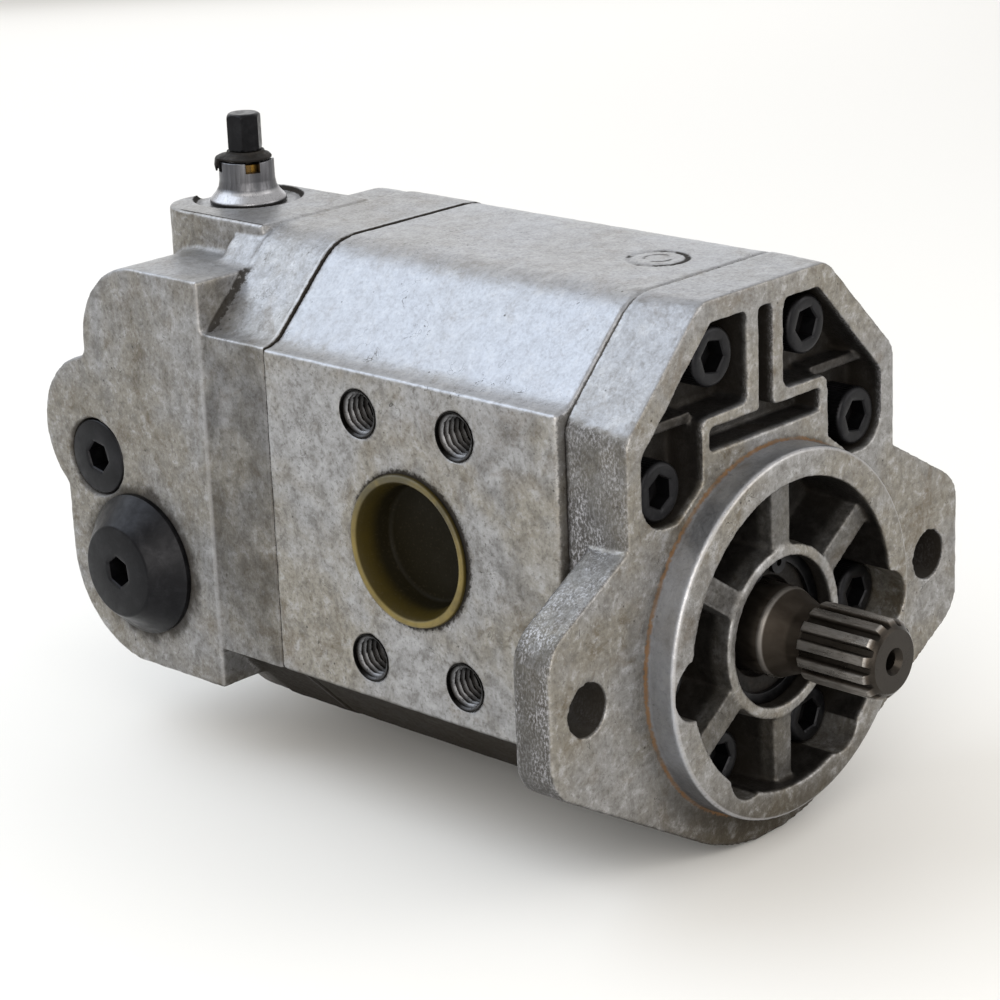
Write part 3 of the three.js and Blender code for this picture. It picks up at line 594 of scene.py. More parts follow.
def cast_aluminium(name, tone, warmth, darkness, grime_and_shade, highlight=None, rust=None):
    """Weathered cast aluminium: mottled, stained, dark in its hollows with soiling and painted shade, and
    bright where its edges wear and where highlights are painted.

    The last three arguments are functions that draw this casting's own soiling and painted shadows, its
    painted highlights and its rusty lines. Faces that point up are painted lighter and bluer as sky light,
    and peened sides get painted glints.
    """
    look = Look(name)
    clouds = look.noise(34, 4, 0.6, warp=0.4)
    mottle = look.noise(4.5, 6, 0.72, warp=0.3)
    fleck = look.noise(1.4, 4, 0.7)
    grain = look.noise(0.8, 3, 0.6)
    plain_and_skylit, deep, peened = (look.painted(mask) for mask in ("plain_and_skylit", "deep", "rough"))
    marked = (plain_and_skylit * 0.8).off()
    warm = clouds.between(0.38, 0.62, max(0.0, warmth - 0.35), min(1.0, warmth + 0.35))
    look.color = look.mix(warm, scaled(CLEAN_CAST, tone), scaled(WARM_CAST, tone))
    # Painted sky light: faces that point up take this lighter, bluer colour and lose some mottling; on the
    # front cover's pilot it is the machined metal's own colour.
    look.coat(plain_and_skylit, PLAIN_SKYLIT_CAST)
    look.coat(mottle.between(0.46, 0.66, 0.0, darkness) * marked, DARK_CAST)
    look.coat(mottle.between(0.48, 0.34, 0.0, 0.6) * marked, LIGHT_CAST)
    look.coat(fleck.between(0.52, 0.66, 0.0, 0.55) * marked, DARK_CAST)
    look.coat(fleck.between(0.45, 0.32, 0.0, 0.4) * marked, LIGHT_CAST)
    stains = look.noise(21, 5, 0.7, warp=1.4).between(0.52, 0.7) * grain.between(0.3, 0.6, 0.5, 1.0)
    look.coat(stains * marked * (0.5 * warmth + 0.1), STAIN)
    cracks = look.noise(6.5, 3, 0.6, warp=0.6).near(0.5, 0.0015, 0.006)
    look.coat(cracks * look.noise(13, 2, 0.5).between(0.58, 0.66) * 0.75, GRIME_AND_SHADE)
    brown = look.noise(8, 6, 0.75, warp=0.6).between(0.5, 0.68) * clouds.between(0.42, 0.58) * marked
    look.coat(brown * (1.1 * warmth), BROWN)
    look.coat(look.cells(5.5).between(0.085, 0.03) * clouds.between(0.4, 0.55) * 0.8, GRIME_AND_SHADE)
    # Peened sides: the dark speckle and dull streaks are the surface's own; the bright specks are painted
    # glints.
    sparkle = look.noise(0.6, 2, 0.7, stretch=(1, 1, 1.8)).between(0.44, 0.66)
    dull = look.noise(7, 4, 0.65, stretch=(1, 1, 2.5)).between(0.4, 0.62, 0.0, 0.75)
    look.coat(peened * 0.85, look.mix(dull, look.mix(sparkle, PEENED_DARK, PEENED_GLINT), PEENED_DULL))
    look.coat(look.z.between(-24, -56) * mottle.between(0.3, 0.55, 0.45, 0.9), STAIN_LOW)
    # Painted shade: where the deep mask is painted, the colour goes near black.
    look.coat(deep, look.mix(mottle.between(0.35, 0.65), SHADED_DARK_CAST, scaled(SHADED_DARK_CAST, 0.45)))
    # Darkening in hollows and creases from ambient occlusion and the mesh's concavity: partly soiling, partly
    # painted shade.
    hollow = look.shelter(14).between(0.40, 0.85) * (plain_and_skylit * 1.5).off() | look.painted("hollow")
    dirt_and_shade = hollow * mottle.between(0.25, 0.5, 0.7, 1.0)
    dirt_and_shade = dirt_and_shade | look.painted("oil_and_underside_shade") | look.painted("dirt_and_shade") | grime_and_shade(look, fleck)
    look.coat(dirt_and_shade * 0.94, GRIME_AND_SHADE)
    if rust:
        look.coat(rust(look, fleck), RUST)
    clean = deep.off() * dirt_and_shade.off()
    wear_and_highlight = look.painted("edge") * look.noise(2.4, 4, 0.7).between(0.42, 0.64) * clean
    # Painted highlights join the bright wear on edges.
    if highlight:
        wear_and_highlight = wear_and_highlight | highlight(look, fleck)
    look.coat(wear_and_highlight * 0.45, WORN_AND_HIGHLIT_EDGE)
    roughness = grain.between(0.3, 0.7, 0.36, 0.54) - (wear_and_highlight | plain_and_skylit) * 0.1 + dirt_and_shade * 0.4
    normal = look.bump(fleck, 0.12, 0.35, look.bump(grain, 0.12, 0.5))
    normal = look.bump(look.noise(0.35, 2, 0.5), 0.05, peened + 0.2, normal)
    return look.done((dirt_and_shade * 0.8).off() * 0.8, roughness, normal, (dirt_and_shade | deep) * -0.44 + 0.5)


def cover_grime_and_shade(look, fleck):
    # Painted shade inside the flange's holes; a dark joint line at the back; darker patches on the flange
    # face round the lower part of the pilot.
    holes = [look.from_axis("y", side * FLANGE_HOLE_X, 0).between(8.2, 7.7) * look.y.between(0.25, 1.0)
             for side in (-1, 1)]
    seam = look.y.near(COVER_BACK, 0.2, 0.7, fleck, 0.8) * 0.8
    foot = look.from_axis("y", 0, 0).near(53, 1.5, 7, fleck, 3) * look.z.between(-20, -36)
    return holes[0] | holes[1] | seam | foot * look.y.between(-0.6, -0.2) * 0.55


def cover_rust(look, fleck):
    line = look.from_axis("y", 0, 0).near(PILOT_RADIUS + 0.5, 0.2, 0.6, fleck, 1.1)
    return line * look.y.near(0, 0.5, 1.3) * look.noise(14, 3, 0.6).between(0.32, 0.6, 0.3, 1.0) * 0.85


def cover_painted_highlight(look, fleck):
    # Painted highlight along the pilot's front edge.
    pilot = look.from_axis("y", 0, 0).near(PILOT_RADIUS - 0.3, 0.3, 0.9)
    return pilot * look.y.near(-PILOT_HEIGHT, 0.6, 1.4) * fleck.between(0.3, 0.5, 0.4, 1.0)


def housing_grime_and_shade(look, fleck):
    port = look.from_axis("x", PORT_Y, MID_Z)
    # Ragged dark rings round the plugs' rims on the port faces: soiling and painted contact shadow.
    inlet = port.near(20.8, 0.9, 2.3, fleck, 2.0) * look.x.between(-58, -59)
    outlet = port.near(15.3, 0.9, 2.2, fleck, 2.0) * look.x.between(58, 59)
    seam = look.y.near(HOUSING[1], 0.2, 0.7, fleck, 0.7)
    front = look.y.near(HOUSING[0], 0.1, 0.5, fleck, 0.8) * 0.7
    out = look.from_axis("z", *MARK)
    rings = out.near(MARK_RADIUS, 0.5, 1.2) | out.near(3.9, 0.25, 0.7) * 0.8
    mark = rings * look.z.between(TOP_Z - 2, TOP_Z - 1) * look.noise(7, 2, 0.5).between(0.42, 0.55)
    return inlet | outlet | seam | front | mark


def rear_grime_and_shade(look, fleck):
    face = look.x.between(-58, -59)
    soft = look.noise(5.5, 4, 0.6)
    # Painted shadow in ragged rings round the large plug and the small plug.
    cone = look.from_axis("x", *SPOOL).near(20, 1.6, 6.5, soft, 4.5) * face * 0.85
    flush = look.from_axis("x", *GALLERY).near(11.3, 0.35, 1.7, soft, 1.6) * face * 0.8
    seam = look.y.near(REAR_FRONT, 0.2, 0.5, fleck, 0.4)
    # Dark lines round the edge of the counterbore's floor and along the boss's left edge.
    rim = look.from_axis("z", *RELIEF).near(15.9, 0.35, 0.9, fleck, 0.5) * look.z.between(92.5, 93.5)
    boss = look.x.near(-30.8, 0.15, 0.45, fleck, 0.3) * look.z.between(TOP_Z - 1.5, TOP_Z - 0.6)
    # Painted shade with soiling in the crease where the slope meets the valve block.
    slope = (abs(look.x) + look.z).near(102 + MID_Z, 2.5, 4) * look.x.between(-39, -41)
    block = look.y.near(153.1, 0.6, 2.0, look.noise(2.5, 5, 0.7), 4.0)
    block = block * (slope * look.x.between(-59.6, -59.0)) * 0.97
    return cone | flush | seam | rim | boss * look.y.near(174, 17, 18.5) | block


def rear_painted_highlights(look, fleck):
    # Painted highlights along the valve block's front edge and on the lip at the rear cover's seam.
    edge = look.y.near(BLOCK_FRONT + 0.3, 0.3, 1.1) * look.x.between(-58.9, -59.5) * 0.4
    lip = look.y.near(REAR_FRONT + 1.0, 0.15, 0.5) * 0.55 * look.z.between(68, 71, 0.25, 1.0)
    return (edge | lip) * fleck.between(0.3, 0.5, 0.3, 1.0)


def dark_metal(name, color, bright, metallic=0.85, rough=(0.32, 0.5), size=6.0):
    """Oiled or blackened steel with brighter scuffed patches, and painted shade in its hollows."""
    look = Look(name)
    fine = look.noise(0.7, 3, 0.6)
    look.color = look.mix(look.noise(size, 5, 0.65, warp=0.6).between(0.42, 0.7) * 0.35, color, bright)
    look.coat(fine.between(0.3, 0.7, 0.0, 0.3), scaled(color, 0.5))
    # Painted shade in hollows, from ambient occlusion.
    look.coat(look.shelter(6).between(0.45, 0.9) * 0.8, GRIME_AND_SHADE)
    roughness = look.noise(3, 4, 0.6).between(0.3, 0.7, *rough)
    return look.done(metallic, roughness, look.bump(fine, 0.03, 0.4))


def cut_thread(name):
    """Screw thread in aluminium: bright crests, grooves near black with oil and painted shade, and painted
    shade further in from the mouth.
    """
    look = Look(name)
    fine = look.noise(0.7, 3, 0.6)
    # Crests bright; grooves near black, with oil and painted shade.
    bright = look.painted("crest") * fine.between(0.3, 0.55, 0.55, 1.0)
    tone = look.mix(bright, OILY_SHADED_GROOVE, (0.24, 0.24, 0.25))
    # Painted shade further in from the mouth.
    look.color = look.mix(look.painted("mouth"), look.mix(0.85, tone, OILY_SHADED_GROOVE), tone)
    return look.done(0.85, fine.between(0.3, 0.7, 0.25, 0.45), look.bump(fine, 0.03, 0.3))


def shaft_steel(name):
    """Hardened shaft steel under brown oil, bright on the spline's teeth with wear and painted highlights,
    with a painted highlight on the shoulder's edge and painted shade in the spline's grooves and inside the
    bore.
    """
    look = Look(name)
    patches = look.noise(5, 5, 0.65, stretch=(1, 2.5, 1), warp=0.5)
    fine = look.noise(0.6, 3, 0.65, stretch=(1, 6, 1))
    look.color = look.mix(patches.between(0.35, 0.68), (0.060, 0.048, 0.038), (0.115, 0.098, 0.082))
    out = look.from_axis("y", 0, 0)
    spline = look.y.between(-16.4, -17.2)
    # Grooves between the spline's teeth painted near black: oil and painted shade.
    look.coat(spline * out.between(10.3, 9.5) * 0.85, (0.018, 0.015, 0.012))
    # Tops of the teeth bright: wear and painted highlights.
    look.coat(spline * out.between(10.1, 10.75) * fine.between(0.3, 0.6, 0.45, 0.9), WORN_AND_HIGHLIT_STEEL)
    # Painted highlight round the shoulder's edge.
    look.coat(out.near(12.2, 0.25, 0.6) * look.y.near(-6.1, 0.5, 1.1) * 0.6, WORN_AND_HIGHLIT_STEEL)
    neck = look.y.near(-11.8, 4.6, 5.2) * 0.75
    look.coat(neck, (0.024, 0.018, 0.013))
    # Painted shade where the shaft goes into the bore.
    look.coat(look.y.between(-5.5, -2.5) * 0.7, (0.012, 0.010, 0.008))
    return look.done(0.85, patches.between(0.3, 0.7, 0.24, 0.42) + neck * 0.2, look.bump(fine, 0.04, 0.4))


def turned_metal(name, color, stretch, line=0.5):
    """Turned or brushed metal: fine lines along the stretched axes, a little soiling, and painted shade in
    its hollows.
    """
    look = Look(name)
    lines = look.noise(line, 3, 0.7, stretch=stretch)
    look.color = look.mix(lines.between(0.3, 0.7), color, scaled(color, 0.6))
    look.coat(look.noise(6, 4, 0.6).between(0.35, 0.7) * 0.3, (0.16, 0.13, 0.10))
    # Painted shade in hollows from ambient occlusion, with whatever darkening a piece paints on itself.
    look.coat((look.shelter(5).between(0.45, 0.85) | look.painted("dirt_and_shade")) * 0.85, GRIME_AND_SHADE)
    return look.done(0.95, lines.between(0.3, 0.7, 0.22, 0.4), look.bump(lines, 0.03, 0.35))


def collar_steel(name):
    """Dull turned steel with upright streaks, a painted highlight on the flared foot, and painted shade at
    its very bottom and in hollows.
    """
    look = Look(name)
    streaks = look.noise(1.0, 3, 0.7, stretch=(1, 1, 30))
    flare_highlight_streaks = look.noise(0.5, 2, 0.6, stretch=(1, 1, 8)).between(0.25, 0.5, 0.5, 0.9)
    look.color = look.mix(streaks.between(0.3, 0.7), (0.145, 0.147, 0.160), (0.085, 0.085, 0.092))
    # Painted highlight on the flared foot, in upright streaks.
    look.coat(look.z.near(96.6, 0.9, 2.0) * flare_highlight_streaks, (0.42, 0.42, 0.44))
    # Painted shade at the very bottom of the foot and in hollows.
    look.coat((look.z.between(94.9, 94.5) | look.shelter(4).between(0.45, 0.85)) * 0.85, GRIME_AND_SHADE)
    return look.done(0.9, streaks.between(0.3, 0.7, 0.26, 0.42), look.bump(streaks, 0.03, 0.35))


def rubber(name):
    look = Look(name)
    fine = look.noise(0.8, 4, 0.65)
    dust = look.noise(4, 4, 0.6).between(0.5, 0.75, 0.0, 0.2)
    look.color = look.mix(dust, (0.0075, 0.006, 0.005), (0.06, 0.045, 0.03))
    return look.done(0.0, fine.between(0.3, 0.7, 0.5, 0.75), look.bump(fine, 0.08, 0.5), 0.25)


def plug_plastic(name):
    """Olive-yellow moulded plastic, with painted shade over its upper part and inside the cup, near black
    further in.
    """
    look = Look(name)
    clouds = look.noise(8, 4, 0.6, warp=0.5)
    fine = look.noise(0.8, 3, 0.6)
    look.color = look.mix(clouds.between(0.35, 0.7), (0.165, 0.122, 0.026), (0.10, 0.075, 0.019))
    shade = look.z.between(MID_Z - 2, MID_Z + 17) * clouds.between(0.25, 0.55, 0.5, 0.9)
    look.coat(shade, (0.050, 0.043, 0.020))
    # Painted shade inside the cup: darker just inside the rim and near black further in.
    inside = abs(look.x).between(PAD_X + 1.85, PAD_X + 1.2)
    look.coat(inside * 0.9, (0.020, 0.0145, 0.003))
    look.coat(abs(look.x).between(PAD_X - 1, PAD_X - 6) * 0.92, (0.0065, 0.0055, 0.003))
    look.coat(fine.between(0.55, 0.75, 0.0, 0.3), (0.05, 0.04, 0.025))
    return look.done(0.0, clouds.between(0.3, 0.7, 0.36, 0.55), look.bump(fine, 0.05, 0.4),
                     inside.between(0.0, 1.0, 0.45, 0.06))


ROUND_Y, ROUND_Z, ALONG_Z = (1, 0.02, 1), (1, 1, 0.02), (1, 1, 30)   # how a surface's lines run

# each is (slot, material)
COVER = ("cover_aluminium", cast_aluminium("cover_cast_aluminium", 0.92, 0.75, 0.55, cover_grime_and_shade,
                                           cover_painted_highlight, cover_rust))
GEARCASE = ("cast_aluminium", cast_aluminium("housing_cast_aluminium", 1.14, 0.6, 0.55, housing_grime_and_shade))
REAR = ("cast_aluminium", cast_aluminium("rear_cast_aluminium", 1.0, 0.6, 0.55, rear_grime_and_shade, rear_painted_highlights))
THREAD = ("cast_aluminium", cut_thread("cut_thread_aluminium"))
SHAFT = ("shaft_steel", shaft_steel("oiled_shaft_steel"))
BLACK_OXIDE = ("black_oxide", dark_metal("black_oxide_steel", (0.009, 0.009, 0.0105), (0.034, 0.034, 0.038),
                                         0.8, (0.28, 0.45)))
COLLAR = ("bright_steel", collar_steel("collar_steel"))
SPRING = ("spring_steel", dark_metal("spring_wire_steel", (0.16, 0.16, 0.17), (0.42, 0.42, 0.44), size=3))
BRASS = ("brass", turned_metal("sleeve_brass", (0.50, 0.27, 0.04), ROUND_Z))
RUBBER = ("rubber", rubber("black_rubber"))
PLASTIC = ("plug_plastic", plug_plastic("olive_plug_plastic"))

# ---------------- castings


def bolt_holes(start, end, segments=48):
    return [rod(BOLT_HOLE, "y", start, end, (x, 0, z), segments) for x, z in BOLTS.values()]


def front_cover():
    open_y = -PILOT_HEIGHT - 1
    body = prism(cover_outline(56, 98, 7), "y", 0, COVER_BACK, cover_outline(57.4, 102, 14))
    union(body, prism(flange_outline(), "y", 0, FLANGE_BACK),
          turned("pilot", [(0, 1), (PILOT_RADIUS, 1), (PILOT_RADIUS, 0.8 - PILOT_HEIGHT),
                           (PILOT_RADIUS - 0.8, -PILOT_HEIGHT), (0, -PILOT_HEIGHT)], "y", segments=256))
    ribs = []
    for degrees in RIB_ANGLES:
        angle = math.radians(degrees)
        along = np.array([math.cos(angle), math.sin(angle)])
        across = np.array([-along[1], along[0]])
        near, far = HUB_RADIUS - 2, CAVITY_RADIUS + 2
        tip, root = (np.array([along * near - across * half, along * far - across * half,
                               along * far + across * half, along * near + across * half])
                     for half in (3.7, 5.0))
        ribs.append(prism(tip, "y", -4.6, CAVITY_FLOOR + 1, root))
    cavity = cut(rod(CAVITY_RADIUS, "y", open_y, CAVITY_FLOOR, segments=256),
                 turned("hub", [(0, HUB_FRONT), (HUB_RADIUS, HUB_FRONT), (HUB_RADIUS + 0.9, CAVITY_FLOOR + 1),
                                (0, CAVITY_FLOOR + 1)], "y", segments=192), *ribs)
    notches = [rod(8.3, "y", open_y, CAVITY_FLOOR, (x, 0, z)) for x, z in BOLTS.values() if z < 0]
    windows = []
    for side in (-1, 1):
        x0, x1 = sorted((side * 25, side * 50))
        window = prism(window_outline(side), "y", -1, CAVITY_FLOOR)
        windows.append(cut(window, box(x0, x1, 5, CAVITY_FLOOR + 1, 62.4, 65.4)))
    recess = mirrored([(2.9, 88.6, 1), (2.9, 60.9, 2), (23.1, 60.9, 1), (23.1, 54.9, 1)])
    cut(body, cavity, *notches, *windows, prism(recess, "y", -1, 9))
    cut(body, *[rod(FLANGE_HOLE, "y", -1, 14, (side * FLANGE_HOLE_X, 0, 0)) for side in (-1, 1)],
        rod(HUB_BORE, "y", open_y, 11, segments=160),
        rod(22, "y", -0.1, 1.7), rod(13.1, "y", 0, COVER_BACK + 1),
        turned("base_groove", [(50.5, -0.3), (51.5, -0.3), (51.3, 0.7), (50.7, 0.7)], "y", segments=256),
        *bolt_holes(11, COVER_BACK + 1, 96))
    remeshed(body, 0.64)
    skin = Skin(body)
    skin.smooth(2)
    reach = np.hypot(skin.points[:, 0], skin.points[:, 2])    # before the deeper smoothing
    skin.smooth(14, lambda x, y, z: ramp(y, 1.0, 4.0) * (np.hypot(x, z) < 42) * (np.hypot(x, z) > 25))
    weather(skin, 11, lambda x, y, z, nx, ny, nz: np.where(
        ny < -0.9, 0.12, np.where(np.abs(reach - PILOT_RADIUS) < 1.0, 0.05, 1.0)))
    p, (_, ny, nz) = skin.points, skin.normals().T
    x, y, z = p.T
    around = np.hypot(x, z)
    outside = (around > 55) & (ny > -0.5) & (y > 0.2)
    side_share = ramp(nz, 0.62, 0.4) * outside
    ears = ramp(nz, 0.95, 0.8) * outside * (z < 36)
    skin.paint("rough", np.maximum(side_share, ears) * (0.75 + 0.25 * lumps(p, 14, 5)))
    # Painted shade in the cavity, the windows and the T recess: darker the further back; floors facing the
    # front are painted a little lighter, as lit.
    in_windows = ((np.abs(x) < 53) & (np.abs(x) + z - MID_Z < 94.5) & (z < 92)
                  & (z > 33) & (around > 51.5))
    wall = ramp(around, 41.6, 42.4) * ramp(y, -8.9, -7.6)
    ribs = 0.62 * ramp(y, -5.3, -4.6)
    pocket = np.maximum(np.maximum(ribs, ramp(y, -4.3, 1.5)), wall)
    bore = (around < 21.4) * ramp(y, -5.2, -4.0)
    deep = np.where(around < 43.6, np.maximum(pocket * (around > 23.3), bore),
                    in_windows * ramp(y, 0.3, 2.5))
    facing = (ny < -0.6) & (y < 12.6)
    arm = (np.abs(x) < 23.5) & (z < 62) & (around > 51.5)
    skin.paint("deep", deep * (y < 12.7) * np.where(facing, np.where(arm, 0.72, 0.88), 0.95))
    # The pilot's machined face is plain metal; faces that point up on the upper outside are painted lighter
    # and bluer, as sky light.
    pilot = ramp(np.abs(around - PILOT_RADIUS), 1.2, 0.6) * (ny > -0.6) * (y < -0.2)
    upper = outside * ramp(nz, 0.45, 0.65) * ramp(z, 40, 60)
    skin.paint("plain_and_skylit", np.maximum(0.8 * pilot, 0.6 * upper))
    skin.paint("dirt_and_shade", 0 * around)
    # Faces that point down, low on the cover, painted near black: oil and painted shade.
    skin.paint("oil_and_underside_shade", ramp(nz, -0.2, -0.6) * ramp(z, 0, -30) * 0.75)
    skin.store()
    finish(body, "front_cover_casting", BODY, COVER, ["front_cover"], None)


def port_pattern(side):
    """Bolt hole centres (y, z) and radius of the port on that side."""
    half_y, half_z, radius = INLET_BOLTS if side < 0 else OUTLET_BOLTS
    return [(PORT_Y + i * half_y, MID_Z + k * half_z) for i in (-1, 1) for k in (-1, 1)], radius


def gear_housing():
    ends = (HOUSING[0] - 1, HOUSING[1] + 1)
    body = prism(section_outline(), "y", *HOUSING)
    cut(body, rod(GEAR_BORE, "y", *ends), rod(GEAR_BORE, "y", *ends, (0, 0, 2 * MID_Z)))
    for side, bore in ((-1, INLET_BORE), (1, OUTLET_BORE)):
        x0, x1 = sorted((0, side * (PAD_X + 1)))
        holes, radius = port_pattern(side)
        h0, h1 = sorted((side * (PAD_X - 15), side * (PAD_X + 1)))
        cut(body, rod(bore, "x", x0, x1, (0, PORT_Y, MID_Z), 192),
            *[rod(radius, "x", h0, h1, (0, y, z)) for y, z in holes])
    cut(body, *bolt_holes(*ends))
    remeshed(body, 0.93)
    skin = Skin(body)
    skin.smooth(2)
    skin.smooth(30, lambda x, y, z: ramp(np.abs(x), 44, 36) * ramp(z, 80, 88)
                * ramp(np.minimum(y - HOUSING[0], HOUSING[1] - y), 2, 5))
    weather(skin, 23, lambda x, y, z, nx, ny, nz: np.where(
        np.abs(nx) > 0.9, 0.15, np.where(np.abs(ny) > 0.9, 0, 0.8)))
    p, (nx, ny, nz) = skin.points, skin.normals().T
    x, y, z = p.T
    mark = ring_mark(x, y, z)
    skin.push(-0.35 * mark)
    flank = (np.abs(nx) > 0.8) * ramp(y, 75, 25)
    smears = ramp(lumps(p, 9, 61) + 0.6 * lumps(p, 3.5, 62), 0.0, 0.8)
    skin.paint("dirt_and_shade", np.maximum(0.2 * mark, 0.3 * flank * smears))
    # Painted shade inside the port bore.
    skin.paint("deep", ramp(np.hypot(y - PORT_Y, z - MID_Z), 20.5, 19.6) * (np.abs(x) < 59.8))
    skin.paint("rough", 0.1 * ramp(lumps(p, 22, 4), 0.1, 0.8))
    # Faces that point up are painted lighter and bluer, as sky light, the flat top a little less.
    skin.paint("plain_and_skylit", ramp(nz, 0.25, 0.6) * (0.85 - 0.25 * ramp(nz, 0.75, 0.95)))
    # Faces that point down, low on the housing, painted near black: oil and painted shade.
    skin.paint("oil_and_underside_shade", ramp(nz, -0.35, -0.6) * ramp(z, -15, -28))
    skin.store()
    finish(body, "gear_housing_casting", BODY, GEARCASE, ["gear_housing"], None)


def ring_mark(x, y, z):
    """A simple ring pressed into the top of the housing, near the front cover."""
    out = np.hypot(x - MARK[0], y - MARK[1])
    return ramp(np.abs(out - MARK_RADIUS), 1.3, 0.4) * (z > TOP_Z - 1)


def rear_cover():
    body = prism(section_outline(0.2, PAD_X - 0.7), "y", REAR_FRONT, PLATE_BACK)
    boss = rounded([(-32, 155.8, 1.2), (10.75, 155.8, 1.2), (10.75, 203.5, 13), (-32, 203.5, 13)])
    union(body, prism(core_outline(-0.25), "y", PLATE_BACK - 1, CORE_BACK),
          prism(valve_block_outline(), "x", -PAD_X, 30), prism(boss, "z", 62, TOP_Z + 0.4))
    cut(body, rod(16, "z", TOP_Z - 1.2, TOP_Z + 1, (*RELIEF, 0), 160), rod(9.3, "z", 79, TOP_Z, (*RELIEF, 0)),
        rod(8, "z", 28, 80, (*RELIEF, 0)),
        rod(14.3, "x", -PAD_X - 1, -40.7, (0, *SPOOL)), rod(9, "x", -PAD_X, 24, (0, *SPOOL)),
        rod(11.7, "x", -PAD_X - 1, -53.8, (0, *GALLERY)), rod(9.3, "x", -PAD_X - 1, -36, (0, *GALLERY)),
        *bolt_holes(REAR_FRONT - 1, 147))
    remeshed(body, 0.7)
    skin = Skin(body)
    skin.smooth(2)
    skin.smooth(25, lambda x, y, z: ramp(y, 154, 157) * ramp(x, -59, -57.5)
                * ramp(np.hypot(x - RELIEF[0], y - RELIEF[1]), 16.5, 18) * ramp(z, 89, 86))
    weather(skin, 37, lambda x, y, z, nx, ny, nz: np.where(
        (nx < -0.9) | (np.abs(ny) > 0.97), 0.15, np.where((nz > 0.95) & (z > 94), 0.2, 1.0)))
    p, (nx, ny, nz) = skin.points, skin.normals().T
    x, y, z = p.T
    plate = (np.abs(nx) > 0.8) * ramp(y, BLOCK_FRONT + 0.3, BLOCK_FRONT - 0.2)
    patches = ramp(lumps(p, 12, 21) + 0.5 * lumps(p, 5, 22), -0.2, 0.6)
    skin.paint("dirt_and_shade", plate * patches * 0.4)
    # The plate's side painted darker overall, with patches.
    skin.paint("deep", plate * (0.22 + 0.12 * lumps(p, 8, 31)))
    skin.paint("rough", 0.1 + 0.15 * ramp(lumps(p, 18, 4), 0.0, 0.8))
    # Faces that point up are painted lighter and bluer, as sky light.
    skin.paint("plain_and_skylit", 0.45 * ramp(nz, 0.25, 0.6))
    # Faces that point down, low on the rear cover's front part, painted near black: oil and painted shade.
    skin.paint("oil_and_underside_shade", ramp(nz, -0.1, -0.4) * ramp(z, -15, -28) * ramp(y, 170, 150))
    skin.store()
    finish(body, "rear_cover_casting", BODY, REAR, ["rear_cover"], None)


# ---------------- shaft and gears

SPLINE_TEETH = 13
GEAR_TEETH = 12
GEAR_TIP, GEAR_ROOT, GEAR_PITCH = 26.8, 18.5, 23.0
PRESSURE = math.radians(28)
BACKLASH = 0.3
JOURNAL = 12.5
SHAFT_TIP = -40.8
SHAFT_BACK = 126.7
SPLINE_END = -17.0
SHOULDER = -6.6


def spline_radius(angles, tip=10.9, root=9.3):
    """Outline of the spline: flat-topped teeth with straight flanks."""
    pitch = 2 * math.pi / SPLINE_TEETH
    away = np.abs((angles + pitch / 2) % pitch - pitch / 2)
    return root + (tip - root) * ramp(away, math.radians(9.4), math.radians(5.8))


def gear_outline(first):
    """Radius of an involute gear over the angle, with a tooth centred at the first angle."""
    base = GEAR_PITCH * math.cos(PRESSURE)
    radii = np.linspace(base, GEAR_TIP, 24)
    roll = np.arccos(np.minimum(1, base / radii))
    half = math.pi / (2 * GEAR_TEETH) - BACKLASH / (2 * GEAR_PITCH) + math.tan(PRESSURE) - PRESSURE
    flank = half - (np.tan(roll) - roll)
    pitch = 2 * math.pi / GEAR_TEETH

    def radius(angles):
        away = np.abs((angles - first + pitch / 2) % pitch - pitch / 2)
        on_flank = np.interp(away, flank[::-1], radii[::-1])
        return np.where(away > flank[0], GEAR_ROOT, np.where(away < flank[-1], GEAR_TIP, on_flank))
    return radius


def chamfered(radius, limit):
    """The outline function, kept inside a round of the limit's radius."""
    return lambda angles: np.minimum(radius(angles), limit)


def gear_rings(outline):
    """Rings of a gear between two journals."""
    edge = chamfered(outline, 20)
    return [(JOURNAL, 42.2), (edge, 42.3), (outline, 42.6), (outline, 104.8), (edge, 105.1), (JOURNAL, 105.2)]


def drive_shaft():
    tip, neck, shoulder, back = SHAFT_TIP, SPLINE_END, SHOULDER, SHAFT_BACK
    profile = [(0, tip + 13.5), (2.6, tip + 12), (2.6, tip + 1.6), (3.4, tip + 0.5), (3.75, tip), (8.5, tip)]
    profile += [(chamfered(spline_radius, 8.7 + 2.3 * t), tip + 0.15 + 2.25 * t)
                for t in np.linspace(0, 1, 9)]
    profile += [(spline_radius, y) for y in np.linspace(tip + 2.6, neck - 0.5, 12)]
    profile += [(chamfered(spline_radius, 10.6), neck - 0.15), (chamfered(spline_radius, 9.6), neck)]
    profile += [(9.5, neck + 0.1), (9.5, neck + 3.6), (9.7, neck + 4.6), (11.9, shoulder - 0.4),
                (12.15, shoulder + 0.1), (12.4, shoulder + 0.7), (JOURNAL, shoulder + 1.1)]
    profile += [(JOURNAL, 16), (12.35, 16.3), (12.35, 17.5), (JOURNAL, 17.8)]
    profile += gear_rings(gear_outline(math.pi / 2)) + [(JOURNAL, 125.6), (11.5, back), (0, back)]
    finish(turned("shaft", profile, "y", segments=624), "splined_drive_shaft", "drive_shaft", SHAFT,
           ["drive_shaft"], 28)


def driven_gear():
    rings = gear_rings(gear_outline(-math.pi / 2 + math.pi / GEAR_TEETH))
    profile = [(0, 20), (11.5, 20), (JOURNAL, 21), *rings, (JOURNAL, 125.7), (11.5, SHAFT_BACK),
               (0, SHAFT_BACK)]
    finish(turned("gear", profile, "y", (0, 0, 2 * MID_Z), 480), "driven_gear_and_journals", "driven_gear",
           SHAFT, ["driven_gear"], 28)


# ---------------- bolts and plugs

SOCKET_FLATS = 8
PLUG_SOCKET = 6


